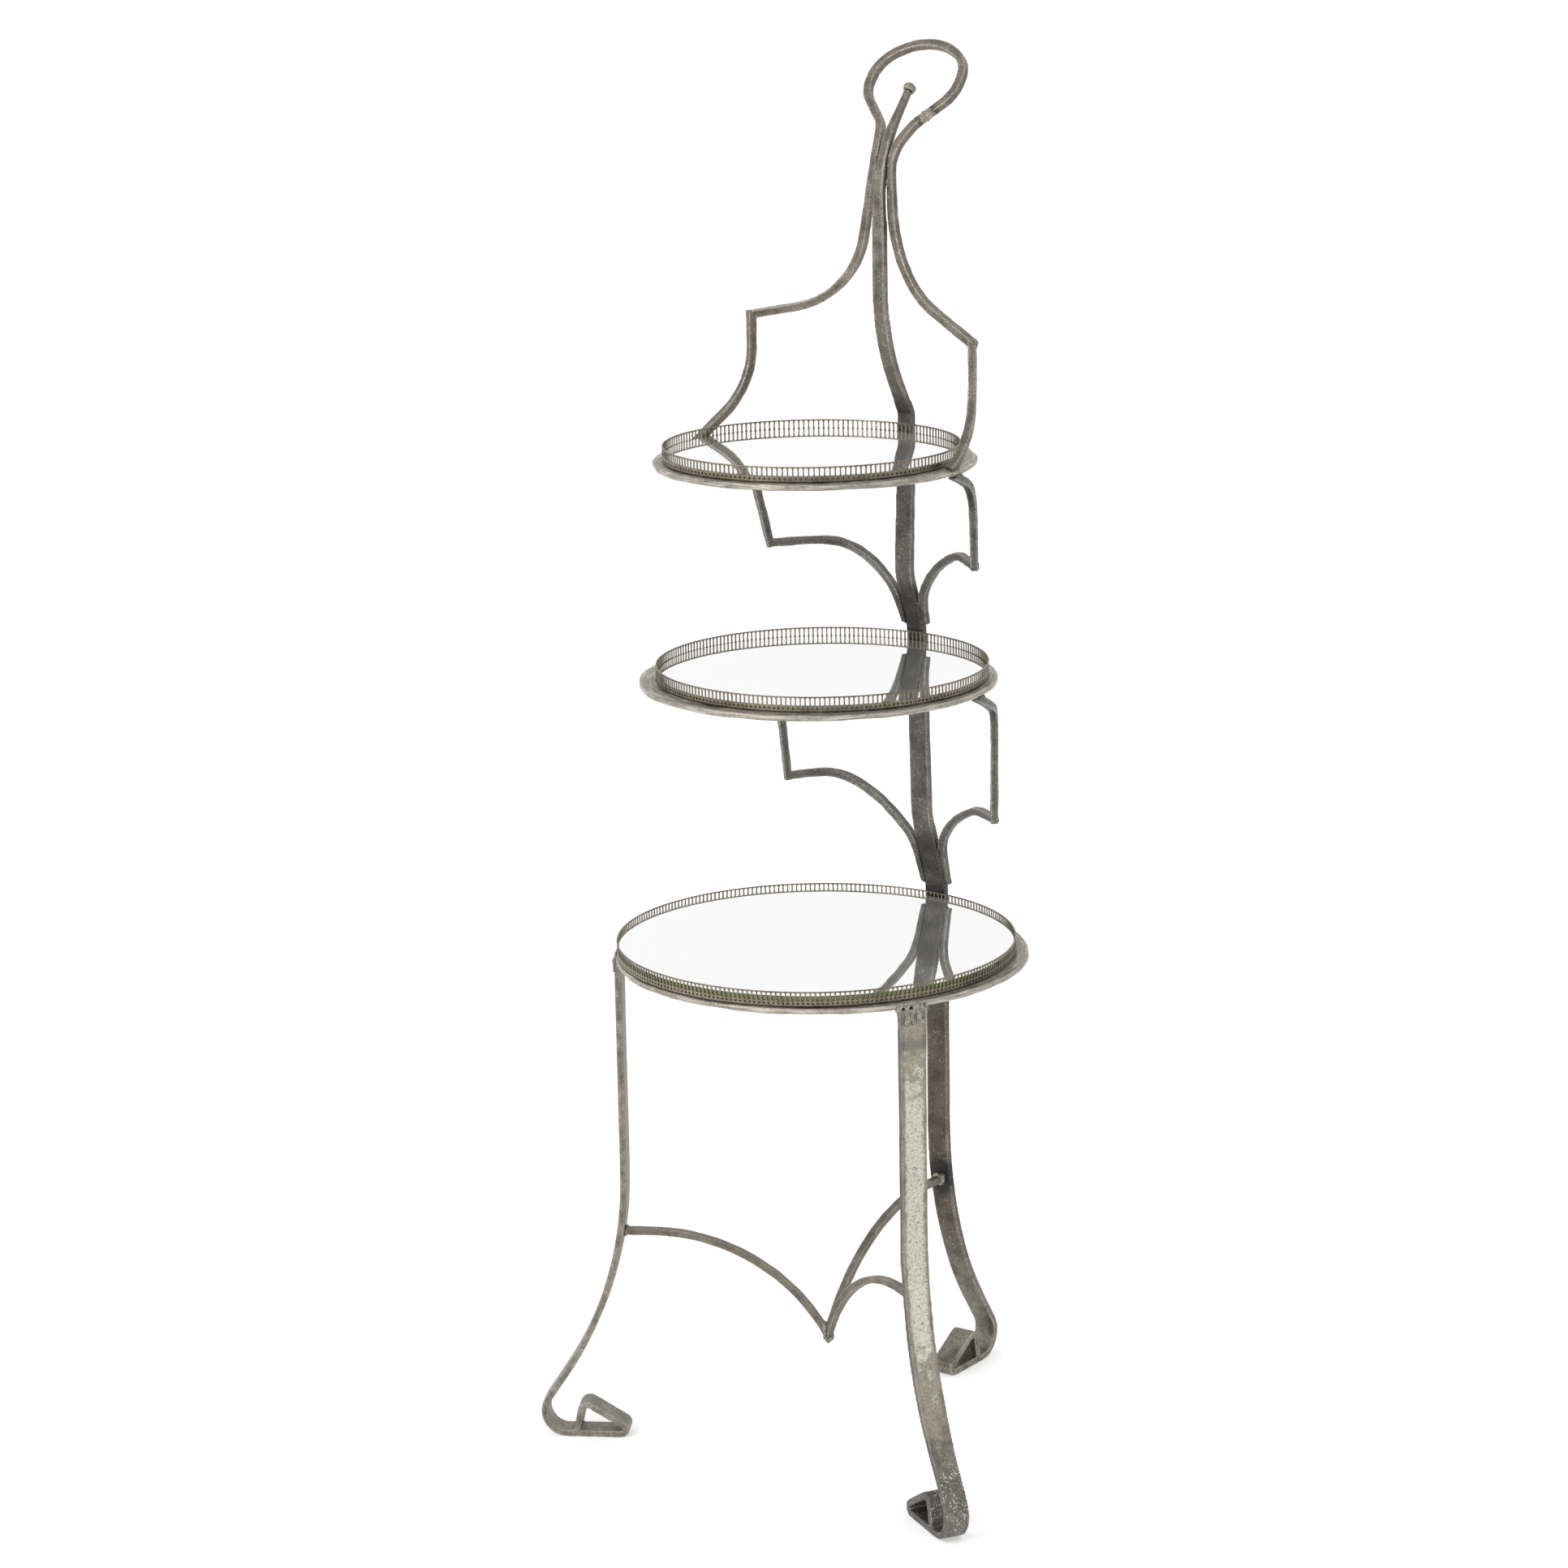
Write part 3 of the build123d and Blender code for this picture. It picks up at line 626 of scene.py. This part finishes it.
def eased(line, times):
    """Each point but the two ends moved to the mean of itself, twice, and its neighbours, so many times."""
    for _ in range(times):
        line[1:-1] = (line[:-2] + 2 * line[1:-1] + line[2:]) / 4
    return line


def arm_lines(course):
    """The two lines of one arm on the right side, with the way that the bar's face looks along each: the side
    on the hoop's own curve, and the shoulder, neck and loop in space.
    """
    top, outside = heights["top"], half_width("top_ring") - rod_bar / 2
    knee_angle, knee_rise, knee_radius = course["knee"]
    corner_height = top + course["corner_rise"]
    lower, out = round_the_hoop([
        (outside * radians(course["tail"]), top - tail_dip), (outside * radians(course["landing"]), top),
        (outside * radians(knee_angle), top + knee_rise),
        (outside * radians(knee_angle), corner_height + rod_bar / 2)], [0.03, knee_radius], outside)
    above = lower[:, 2] > top

    def in_loop(across, up):
        """The point of the loop at shares of its half width and its length."""
        rise = loop_foot + up * loop_length * cos(handle_lean)
        depth = neck_depth + (rise - lean_rise) * sin(handle_lean) / cos(handle_lean)
        return across * loop_width, axis_y + depth, top + rise

    corner = np.array((outside * sin(radians(knee_angle)), axis_y + outside * cos(radians(knee_angle)),
                       corner_height))
    bend = np.array((course["bend"][0], axis_y + neck_depth, top + course["bend"][1]))
    tip = corner + unit(corner - bend) * rod_bar / 2
    points = [tip, bend, (course["neck"], axis_y + neck_depth, top + lean_rise),
              in_loop(course["flare"], 0.18)]
    radii = [course["bend"][2], 0.05, 0.025]
    across, up = loop_meeting
    if course["side"] < 0:
        points += [in_loop(*point) for point in loop_points]
        radii += loop_radii
        across = -across
    points.append(in_loop(across, up))
    upper = eased(rounded(points, radii), arm_easing)
    share = np.clip((upper[:, :1] - 0.02) / 0.04, 0, 1) * (upper[:, 2:] < top + lean_rise)
    leaning = np.clip((upper[:, 2:] - top - lean_rise + 0.02) / 0.04, 0, 1)
    facing = np.array((0.39, 0.92, 0.0)) * share + np.array((0.0, 1.0, 0.0)) * (1 - share) * (1 - leaning)
    facing = facing + np.array((0.0, cos(handle_lean), -sin(handle_lean))) * leaning
    return (lower[above], out[above]), (upper, facing)


def bent_rod(node, lines, side, bar, seed, finish):
    """A rod carried along its lines, mirrored to its side, and moved along its normals by waves. It is kept
    inside the box of the CAD rod.
    """
    places, faces, wear, start = [], [], [], 0
    for line, facing in lines:
        skin, quads, caps, worn = rod_skin(line, facing, bar)
        places.append(skin)
        faces += (quads + start).tolist() + (caps + start).tolist()
        wear.append(worn)
        start += len(skin)
    mesh = new_mesh(f"forged_{node}", np.concatenate(places) * (side, 1, 1), faces)
    cleaned(mesh, 0, True)
    smooth_shading(mesh)
    places, normals, _ = read_mesh(mesh)
    push = sum(dent * waves(places, length, seed + i) for i, (dent, length) in enumerate(rod_dents))
    place_vertices(mesh, places + normals * push[:, None], node)
    set_attribute(mesh, "wear", np.concatenate(wear))
    set_attribute(mesh, "hollow", np.zeros(len(places)))
    mesh.update()
    piece = new_piece(mesh.name, mesh)
    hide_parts(node)
    mesh.materials.append(finish)


bracket_bar = 0.0066
bracket_belly = 0.0045
bracket_easing = 250
# Angles round the hoop from its back in degrees, and heights, places and bending radii in metres
bracket_courses = {
    "top_left": dict(ring="top", start=82.0, knee=(60.5, 0.842, 0.04), corner=(53.0, 0.7725),
                     shoulder=(0.057, 0.775, 0.06),
                     tail=((0.0122, 0.1344, 0.732), (0.0111, 0.1407, 0.7149), (0.0097, 0.1455, 0.702))),
    "top_right": dict(ring="top", start=92.0, knee=(64.0, 0.842, 0.055), corner=(57.0, 0.7745),
                      shoulder=(0.067, 0.7745, 0.05),
                      tail=((0.0122, 0.1359, 0.728), (0.0111, 0.1415, 0.7129), (0.0097, 0.1455, 0.702))),
    "middle_left": dict(ring="middle", start=86.0, knee=(49.8, 0.6501, 0.04), corner=(46.5, 0.5616),
                        shoulder=(0.071, 0.566, 0.05),
                        tail=((0.0137, 0.1596, 0.5071), (0.0126, 0.1653, 0.4899), (0.0113, 0.1738, 0.464))),
    "middle_right": dict(ring="middle", start=88.0, knee=(59.0, 0.652, 0.035), corner=(52.0, 0.5549),
                         shoulder=(0.066, 0.5465, 0.05),
                         tail=((0.0137, 0.1603, 0.5049), (0.0126, 0.1659, 0.488), (0.0113, 0.1738, 0.464))),
}


def bracket_lines(course):
    """The two lines of one bracket on the right side: from under the hoop down to the corner on the hoop's
    own curve, and from the corner over a belly to the spine and down its side.
    """
    ring = course["ring"]
    outside = half_width(f"{ring}_ring") - bracket_bar / 2
    knee_angle, knee_height, knee_radius = course["knee"]
    corner_angle, corner_height = course["corner"]
    side, out = round_the_hoop([
        (outside * radians(course["start"]), heights[ring]), (outside * radians(knee_angle), knee_height),
        (outside * radians(corner_angle), corner_height - bracket_bar / 2)], [knee_radius], outside)
    under = side[:, 2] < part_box(f"{ring}_ring")[0].z
    corner = np.array((outside * sin(radians(corner_angle)), outside * cos(radians(corner_angle)),
                       corner_height))
    across, rise, radius = course["shoulder"]
    seat = course["tail"][0][1]
    depth = np.interp(across, [0, 0.4 * corner[0], corner[0]], [seat, seat - 0.005, corner[1]])
    shoulder = np.array((across, depth, rise))
    tip = corner + unit(corner - shoulder) * bracket_bar / 2
    belly = (shoulder + course["tail"][0]) / 2 + bracket_belly * np.array((-1, 0, 1))
    limb = rounded([tip, shoulder, belly, *course["tail"]], [radius, 0.06, 0.05, 0.024])
    limb = eased(limb, bracket_easing) + (0, axis_y, 0)
    return (side[under], out[under]), (limb, np.array((0.0, 1.0, 0.0)))


for name, course in arm_courses.items():
    bent_rod(f"{name}_handle_arm", arm_lines(course), course["side"], rod_bar, 31, loop_finish)
for seed, (name, course) in enumerate(bracket_courses.items()):
    side = -1 if "left" in name else 1
    bent_rod(f"{name}_bracket", bracket_lines(course), side, bracket_bar, 41 + seed, slate_iron)
for seed, node in enumerate(("rear_stretcher", "left_stretcher", "right_stretcher")):
    forged(node, rod_facet, bar_dent, 0.02, seed=34 + seed).data.materials.append(brown_iron)


# The welds
# Lumpy beads of weld metal where the iron bars meet, laid by hand and never dressed.
# One joint in the loop is brazed, and the brass of it shows warm and pale.

weld_iron = iron("weld_iron", (0.14, 0.125, 0.1), (0.5, 0.47, 0.39), specks=0.8, pits=0.7, mottle=160.0)[0]
braze = iron("braze", (0.26, 0.2, 0.13), (0.62, 0.5, 0.36), specks=0.5, pits=0.3, mottle=200.0)[0]

stroke_rows = ((9, 0.0122, 0.4418), (7, 0.0105, 0.4352))
stroke_length = 0.0085
stroke_radius = 0.00125
ball_around, ball_rings = 8, 5
weld_facet = 0.0005
seam_batches = 40


def seam_places(first, second, reach):
    """Vertices of the first piece nearer than reach to the second one where their faces meet at an angle."""
    a, a_normals, _ = read_mesh(bpy.data.objects[f"forged_{first}"].data)
    b, b_normals, _ = read_mesh(bpy.data.objects[f"forged_{second}"].data)
    low = np.maximum(a.min(axis=0), b.min(axis=0)) - reach
    high = np.minimum(a.max(axis=0), b.max(axis=0)) + reach
    near_a = ((a > low) & (a < high)).all(axis=1)
    near_b = ((b > low) & (b < high)).all(axis=1)
    a, a_normals, b, b_normals = a[near_a], a_normals[near_a], b[near_b], b_normals[near_b]
    if not len(a) or not len(b):
        return np.empty((0, 3))
    found = []
    for part, part_normals in zip(np.array_split(a, seam_batches), np.array_split(a_normals, seam_batches)):
        gaps = np.linalg.norm(part[:, None] - b[None], axis=2)
        facing = (part_normals * b_normals[gaps.argmin(axis=1)]).sum(axis=1)
        found.append(part[(gaps.min(axis=1) < reach) & (facing > -0.6)])
    return np.concatenate(found)


def spaced(places, gap, draw):
    """One place drawn at random from each cube of side gap."""
    places = draw.permutation(places)
    _, first = np.unique(np.floor(places / gap).astype(int), axis=0, return_index=True)
    return places[first]


def weld_strokes(leg, draw):
    """Short strokes of weld down the outer face of a leg from the ring's edge: two rows of curved strokes,
    each a run of centres that starts on the ring and ends on the leg, set out across the leg and leaning.
    """
    tangent, outward = np.array(leg_tangents[leg]), np.array(leg_outwards[leg])
    run = np.linspace(0, 1, 9)[None, :]
    centres = []
    for number, width, high in stroke_rows:
        across = (np.linspace(-width, width, number) + draw.uniform(-0.0008, 0.0008, number))[:, None]
        lean = draw.uniform(-0.0022, 0.0022, number)[:, None]
        hook = draw.uniform(-0.0014, 0.0014, number)[:, None]
        sideways = across + lean * run + hook * np.sin(np.pi * run)
        height = high - stroke_length * draw.uniform(0.75, 1.1, number)[:, None] * run
        depth = np.interp(height, [0.436, 0.4395], [0.1776, 0.1756])
        places = sideways[..., None] * tangent + depth[..., None] * outward + (0, axis_y, 0)
        places[..., 2] += height
        centres.append(places.reshape(-1, 3))
    return np.concatenate(centres)


def small_ball():
    """Points of a ball of radius 1, (sin v cos u, sin v sin u, cos v) and the two poles, with its faces."""
    around = np.arange(ball_around) * 2 * np.pi / ball_around
    around, down = np.meshgrid(around, np.linspace(0, np.pi, ball_rings + 2)[1:-1])
    ball = np.stack([np.sin(down) * np.cos(around), np.sin(down) * np.sin(around), np.cos(down)], axis=2)
    points = np.concatenate([ball.reshape(-1, 3), [[0, 0, 1], [0, 0, -1]]])
    quads = ring_quads(ball_rings, ball_around)[:, [0, 3, 2, 1]]
    row = np.arange(ball_around)
    step = (row + 1) % ball_around
    pole, last = ball_around * ball_rings, ball_around * (ball_rings - 1)
    caps = np.concatenate([np.stack([0 * row + pole, row, step], axis=1),
                           np.stack([0 * row + pole + 1, last + step, last + row], axis=1)])
    return points, quads, caps


def weld_lumps(name, joints, size, seed, material, stroked=()):
    """Lumps of weld metal along the seams of pairs of pieces, and in strokes down the stroked legs: balls of
    radius size times 0.7 to 1.2, joined into one skin.
    """
    draw = np.random.default_rng(seed)
    seams = [seam_places(first, second, size * 1.1) for first, second in joints]
    centres = spaced(np.concatenate(seams), size * 0.8, draw)
    strokes = [weld_strokes(leg, draw) for leg in stroked]
    centres = np.concatenate([centres, *strokes])
    radii = size * draw.uniform(0.7, 1.2, len(centres))
    if strokes:
        radii[-sum(map(len, strokes)):] = stroke_radius
    ball, quads, caps = small_ball()
    places = centres[:, None] + ball * radii[:, None, None]
    starts = np.arange(len(centres))[:, None, None] * len(ball)
    faces = (starts + quads).reshape(-1, 4).tolist() + (starts + caps).reshape(-1, 3).tolist()
    piece = new_piece(name, new_mesh(name, places, faces))
    mesh = refaceted(piece, weld_facet)
    places, _, edges = read_mesh(mesh)
    places = evened(evened(places, edges, 0.5), edges, 0.5)
    mesh.vertices.foreach_set("co", places.astype(np.float32).ravel())
    smooth_shading(mesh)
    mesh.update()
    mesh.materials.append(material)
    return piece


sides = ("left", "right")
leg_joints = [(leg, "bottom_ring") for leg in ("left_leg", "right_leg", "spine_bar")]
stretcher_joints = [("left_stretcher", "left_leg"), ("right_stretcher", "right_leg"),
                    ("left_stretcher", "right_stretcher"), ("left_stretcher", "rear_stretcher"),
                    ("right_stretcher", "rear_stretcher")]
bracket_joints = [(f"{tier}_{side}_bracket", other) for tier in ("top", "middle") for side in sides
                  for other in (f"{tier}_ring", "spine_bar")]
arm_joints = [(f"{side}_handle_arm", other) for side in sides for other in ("top_ring", "spine_bar")]
leg_weld = weld_lumps("leg_weld_lumps", leg_joints, 0.0014, 51, weld_iron, stroked=("left_leg", "right_leg"))
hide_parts("leg_welds")
weld_lumps("rear_weld_lump", [("rear_stretcher", "spine_bar")], 0.0026, 54, weld_iron)
stretcher_weld = weld_lumps("stretcher_weld_lumps", stretcher_joints, 0.0015, 52, weld_iron)
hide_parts("stretcher_welds")
weld_lumps("bracket_weld_lumps", bracket_joints, 0.0012, 53, slate_iron)
weld_lumps("arm_weld_lumps", arm_joints, 0.0011, 54, brown_iron)
weld_lumps("loop_braze", [("left_handle_arm", "right_handle_arm")], 0.0008, 55, braze)


# The trays: sheet pans, backing boards and mirrors
# Each tray is a disc of brass sheet with a pierced fence round it. A board lies in it,
# and on the board a round mirror: thin glass on the two upper trays, thick plate on the lowest.

tier_names = ("bottom", "middle", "top")


def turned(name, profile, centre, body, steps=256, closed=True):
    """A profile of radii and heights turned about an upright line: (r cos a + x, r sin a + y, z)."""
    angles = np.arange(steps) * 2 * np.pi / steps
    radius, height = np.array(profile, float).T
    radius = radius[:, None]
    places = np.stack([centre[0] + radius * np.cos(angles), centre[1] + radius * np.sin(angles),
                       np.repeat(height[:, None], steps, axis=1)], axis=2)
    faces = ring_quads(len(profile), steps, closed).tolist()
    if not closed:
        first = np.arange(steps)
        faces += [first[::-1].tolist(), (first + steps * (len(profile) - 1)).tolist()]
    mesh = new_mesh(name, places, faces)
    smooth_shading(mesh)
    mesh.set_sharp_from_angle(angle=radians(30))
    mesh.update()
    return new_piece(name, mesh, body)


def brass_surface():
    """Old brass: a cloudy, grainy tone between its tarnish and its bare metal."""
    group, w, given, result = new_group("brass_surface", {
        "Tarnish": (0.13, 0.11, 0.06, 1), "Metal": (0.4, 0.34, 0.2, 1), "Rubbed": 0.3})
    place = w.place()
    cloud = w.noise(place, 45.0, 5.0, 0.6)
    grain = w.noise(place, 600.0, 3.0, 0.6)
    tone = w.sum(w.spread(cloud, 0.35, 0.65), w.spread(grain, 0.35, 0.65))
    tone = w.sum(w.times(tone, 0.5), given["Rubbed"])
    color = w.blend(tone, given["Tarnish"], given["Metal"])
    w.fill(result, {"Color": color, "Roughness": w.spread(cloud, 0.3, 0.7, 0.3, 0.5),
                    "Height": w.sum(grain, w.times(cloud, 0.5))})
    return group


brass_group = brass_surface()


def brass(name, tarnish, bare, rubbed):
    """Old brass of two colours, and how far it is rubbed from the one towards the other."""
    values = {"Tarnish": (*tarnish, 1), "Metal": (*bare, 1), "Rubbed": rubbed}
    return metal(name, brass_group, values, 0.85, 0.0001)[0]


def silvered_glass():
    """Mirror seen from above, a green glass edge at its side, with faint smears in its shine."""
    made, w, shader = new_material("silvered_glass")
    place = w.place()
    smear = w.noise(place, 16.0, 5.0, 0.55)
    normal = w.node("ShaderNodeNewGeometry").outputs["Normal"]
    top = w.spread(w.parts(normal)[2], 0.75, 0.97)
    w.fill(shader, {"Base Color": w.blend(top, (0.2, 0.24, 0.085, 1), (0.96, 0.965, 0.955, 1)),
                    "Metallic": w.spread(top, 0.0, 1.0, 0.0, 0.9),
                    "Roughness": w.spread(smear, 0.4, 0.75, 0.015, 0.06)})
    return made


def board():
    """Grey-brown board, with a fibrous mottle."""
    made, w, shader = new_material("backing_board")
    place = w.place()
    fibre = w.noise(place, 900.0, 4.0, 0.7)
    w.fill(shader, {"Base Color": w.blend(fibre, (0.1, 0.08, 0.06, 1), (0.26, 0.22, 0.17, 1)),
                    "Roughness": w.spread(fibre, 0.3, 0.7, 0.8, 0.95)})
    return made


# Painted shadow: the pans are near-black brass, so that their thin edge under each gallery stands for the
# shadow gap between the gallery and the ring.
pan_shadow_brass = brass("pan_shadow_brass", (0.018, 0.015, 0.012), (0.09, 0.072, 0.055), 0.0)
mirror_glass = silvered_glass()
backing_board = board()
mirror_arris = 0.0005
tray_middles = {}

for tier in tier_names:
    body = f"{tier}_tray"
    low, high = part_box(f"{tier}_tray_mirror")
    centre, radius = (low + high) / 2, half_width(f"{tier}_tray_mirror")
    tray_middles[tier] = centre
    mirror = turned(f"{tier}_mirror_glass", [
        (radius, low.z), (radius, high.z - mirror_arris), (radius - mirror_arris, high.z)],
        centre, body, closed=False)
    mirror.data.materials.append(mirror_glass)
    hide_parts(f"{tier}_tray_mirror")
    nodes[f"{tier}_tray_pan"].data.materials[0] = pan_shadow_brass
    nodes[f"{tier}_tray_backing_pad"].data.materials[0] = backing_board


# The pierced galleries
# A strip of thin brass is punched with a row of tall round-ended slots over a row of small holes,
# rolled into a hoop and soldered to the edge of the pan. A bead of wire finishes its top.

slot_ends = 7
hole_sides = 8
hole_radius = 0.001
hole_height = 0.0022
strip_thickness = 0.0008
bar_width = 0.0011
band_height = 0.004
bead_radius = 0.0006
bead_sides = 12
gallery_brass = brass("gallery_brass", (0.085, 0.07, 0.052), (0.34, 0.295, 0.225), 0.05)
rim_brass = brass("rim_brass", (0.09, 0.075, 0.058), (0.36, 0.31, 0.24), 0.1)


def piercing(pitch, top):
    """Flat cell of the strip: a rectangle less a slot with half-round ends and a round hole. Gives its points,
    its triangles and its edges as pairs of points.
    """
    half = (pitch - bar_width) / 2
    head, foot = top - half, band_height + half
    arc = np.linspace(0, np.pi, slot_ends)
    upper = np.stack([pitch / 2 + half * np.cos(arc), head + half * np.sin(arc)], axis=1)
    lower = np.stack([pitch / 2 - half * np.cos(arc), foot - half * np.sin(arc)], axis=1)
    turn = np.arange(hole_sides) * 2 * np.pi / hole_sides
    hole = np.array((pitch / 2, hole_height)) + hole_radius * np.stack([np.cos(turn), np.sin(turn)], axis=1)
    frame_loop = np.array([(0, 0), (pitch, 0), (pitch, top), (0, top)])
    loops = [frame_loop, np.concatenate([upper, lower])[::-1], hole[::-1]]
    starts = np.cumsum([0] + [len(loop) for loop in loops])
    edges = [(int(start) + i, int(start) + (i + 1) % len(loop)) for start, loop in zip(starts, loops)
             for i in range(len(loop))]
    points = [Vector(p) for p in np.concatenate(loops)]
    found, _, faces, *_ = delaunay_2d_cdt(points, edges, [], 1, 1e-9)
    flat = np.array([tuple(p) for p in found])
    middles = np.array([flat[list(face)].mean(axis=0) for face in faces])
    in_hole = np.linalg.norm(middles - hole.mean(axis=0), axis=1) < hole_radius
    across, above = np.abs(middles[:, 0] - pitch / 2), middles[:, 1]
    beyond = np.clip(above - head, 0, None) + np.clip(foot - above, 0, None)
    in_slot = np.hypot(across, beyond) < half
    kept = [face for face, out in zip(faces, in_hole | in_slot) if not out]
    return flat, kept, edges


def pierced_strip(tier, radius, centre, low, top, number):
    """The cell repeated round a circle, outside and inside: a point (u, h) of cell i lies at the angle
    (u + i pitch) / radius, and walls join the two skins round each opening, at the foot and at the top.
    """
    pitch = 2 * np.pi * radius / number
    flat, triangles, edges = piercing(pitch, top - low)
    cells = np.arange(number)[:, None]
    angles = (flat[None, :, 0] + cells * pitch) / radius
    skins = [np.stack([centre.x + r * np.cos(angles), centre.y + r * np.sin(angles),
                       np.broadcast_to(low + flat[:, 1], angles.shape)], axis=2)
             for r in (radius, radius - strip_thickness)]
    places = np.stack(skins, axis=1)
    count = len(flat)
    side_edges = [(a, b) for a, b in edges if not (a < 4 and b < 4 and a % 2 == 1)]
    outer = np.array(triangles)
    walls = np.array([(b, a, a + count, b + count) for a, b in side_edges])
    starts = cells[:, :, None] * 2 * count
    faces = [face for kind in (outer, outer[:, ::-1] + count, walls)
             for face in (starts + kind).reshape(-1, kind.shape[1]).tolist()]
    mesh = new_mesh(f"{tier}_gallery_strip", places, faces)
    cleaned(mesh, 0.00002, True)
    return new_piece(mesh.name, mesh, f"{tier}_tray")


bars_on = {"bottom": 263, "middle": 221, "top": 182}
for tier in tier_names:
    centre = tray_middles[tier]
    band, rim = f"{tier}_tray_gallery_band", f"{tier}_tray_gallery_rim"
    rim_low, rim_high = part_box(rim)
    strip = pierced_strip(tier, half_width(band), centre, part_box(band)[0].z, rim_low.z, bars_on[tier])
    strip.data.materials.append(gallery_brass)
    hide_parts(f"{tier}_tray_gallery_band", f"{tier}_tray_gallery_bars")
    outer, half_height = half_width(rim), (rim_high.z - rim_low.z) / 2
    turn = np.arange(bead_sides) * 2 * np.pi / bead_sides
    profile = np.stack([outer - bead_radius + bead_radius * np.cos(turn),
                        rim_low.z + half_height * (1 + np.sin(turn))], axis=1)
    bead = turned(f"{tier}_gallery_bead", profile, centre, f"{tier}_tray", steps=360)
    bead.data.materials.append(rim_brass)
    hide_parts(f"{tier}_tray_gallery_rim")


# The studio
# A pale floor and an even white surround, with one large soft lamp above the front on the left.
# The camera stands to the right of the front with a long lens, higher than the stand, and looks down.

floor_size = 40.0
lens = 97.0
camera_turn = radians(35.654)
camera_distance = 3.45
camera_height = 1.4357
camera_yaw = radians(0.5015)
camera_pitch = radians(13.7846)
camera_roll = radians(-0.985)


def looked_at(w):
    """One for what the camera sees, straight or in a mirror or through glass, and nothing for other light."""
    seen = w.node("ShaderNodeLightPath").outputs
    return w.sum(w.sum(seen["Is Camera Ray"], seen["Is Glossy Ray"]), seen["Is Transmission Ray"])


corners = np.array([(-1, -1, 0), (1, -1, 0), (1, 1, 0), (-1, 1, 0)]) * floor_size / 2
floor_mesh = new_mesh("studio_floor", corners, [(0, 1, 2, 3)])
floor = new_object("studio_floor", floor_mesh)
floor_paint, w, shader = new_material("floor_paint")
w.fill(shader, {"Base Color": (0.86, 0.86, 0.86, 1), "Roughness": 0.9, "Specular IOR Level": 0.1,
                "Emission Color": (1, 1, 1, 1), "Emission Strength": w.times(looked_at(w), 0.4)})
floor_mesh.materials.append(floor_paint)

world = bpy.data.worlds.new("studio_world")
world.use_nodes = True
scene.world = world
w = Wiring(world.node_tree)
w.fill(world.node_tree.nodes["Background"], {
    "Color": (1, 1, 1, 1), "Strength": w.spread(looked_at(w), 0.0, 1.0, 0.8, 1.0)})

lamp = new_object("soft_lamp", bpy.data.lights.new("soft_lamp", "AREA"))
lamp.data.shape = "SQUARE"
lamp.data.size = 1.6
lamp.data.energy = 33.0
lamp.location = (-0.6, -2.6, 2.4)
lamp.rotation_euler = (Vector((0, 0, 0.6)) - lamp.location).to_track_quat("-Z", "Y").to_euler()

camera = new_object("photo_camera", bpy.data.cameras.new("photo_camera"))
camera_x = camera_distance * sin(camera_turn)
camera_y = axis_y - camera_distance * cos(camera_turn)
camera.matrix_world = (Matrix.Translation((camera_x, camera_y, camera_height))
                       @ Matrix.Rotation(camera_turn + camera_yaw, 4, "Z")
                       @ Matrix.Rotation(radians(90) - camera_pitch, 4, "X")
                       @ Matrix.Rotation(camera_roll, 4, "Z"))
camera.data.lens = lens
camera.data.clip_end = 100.0
scene.camera = camera
scene.view_settings.view_transform = "Standard"
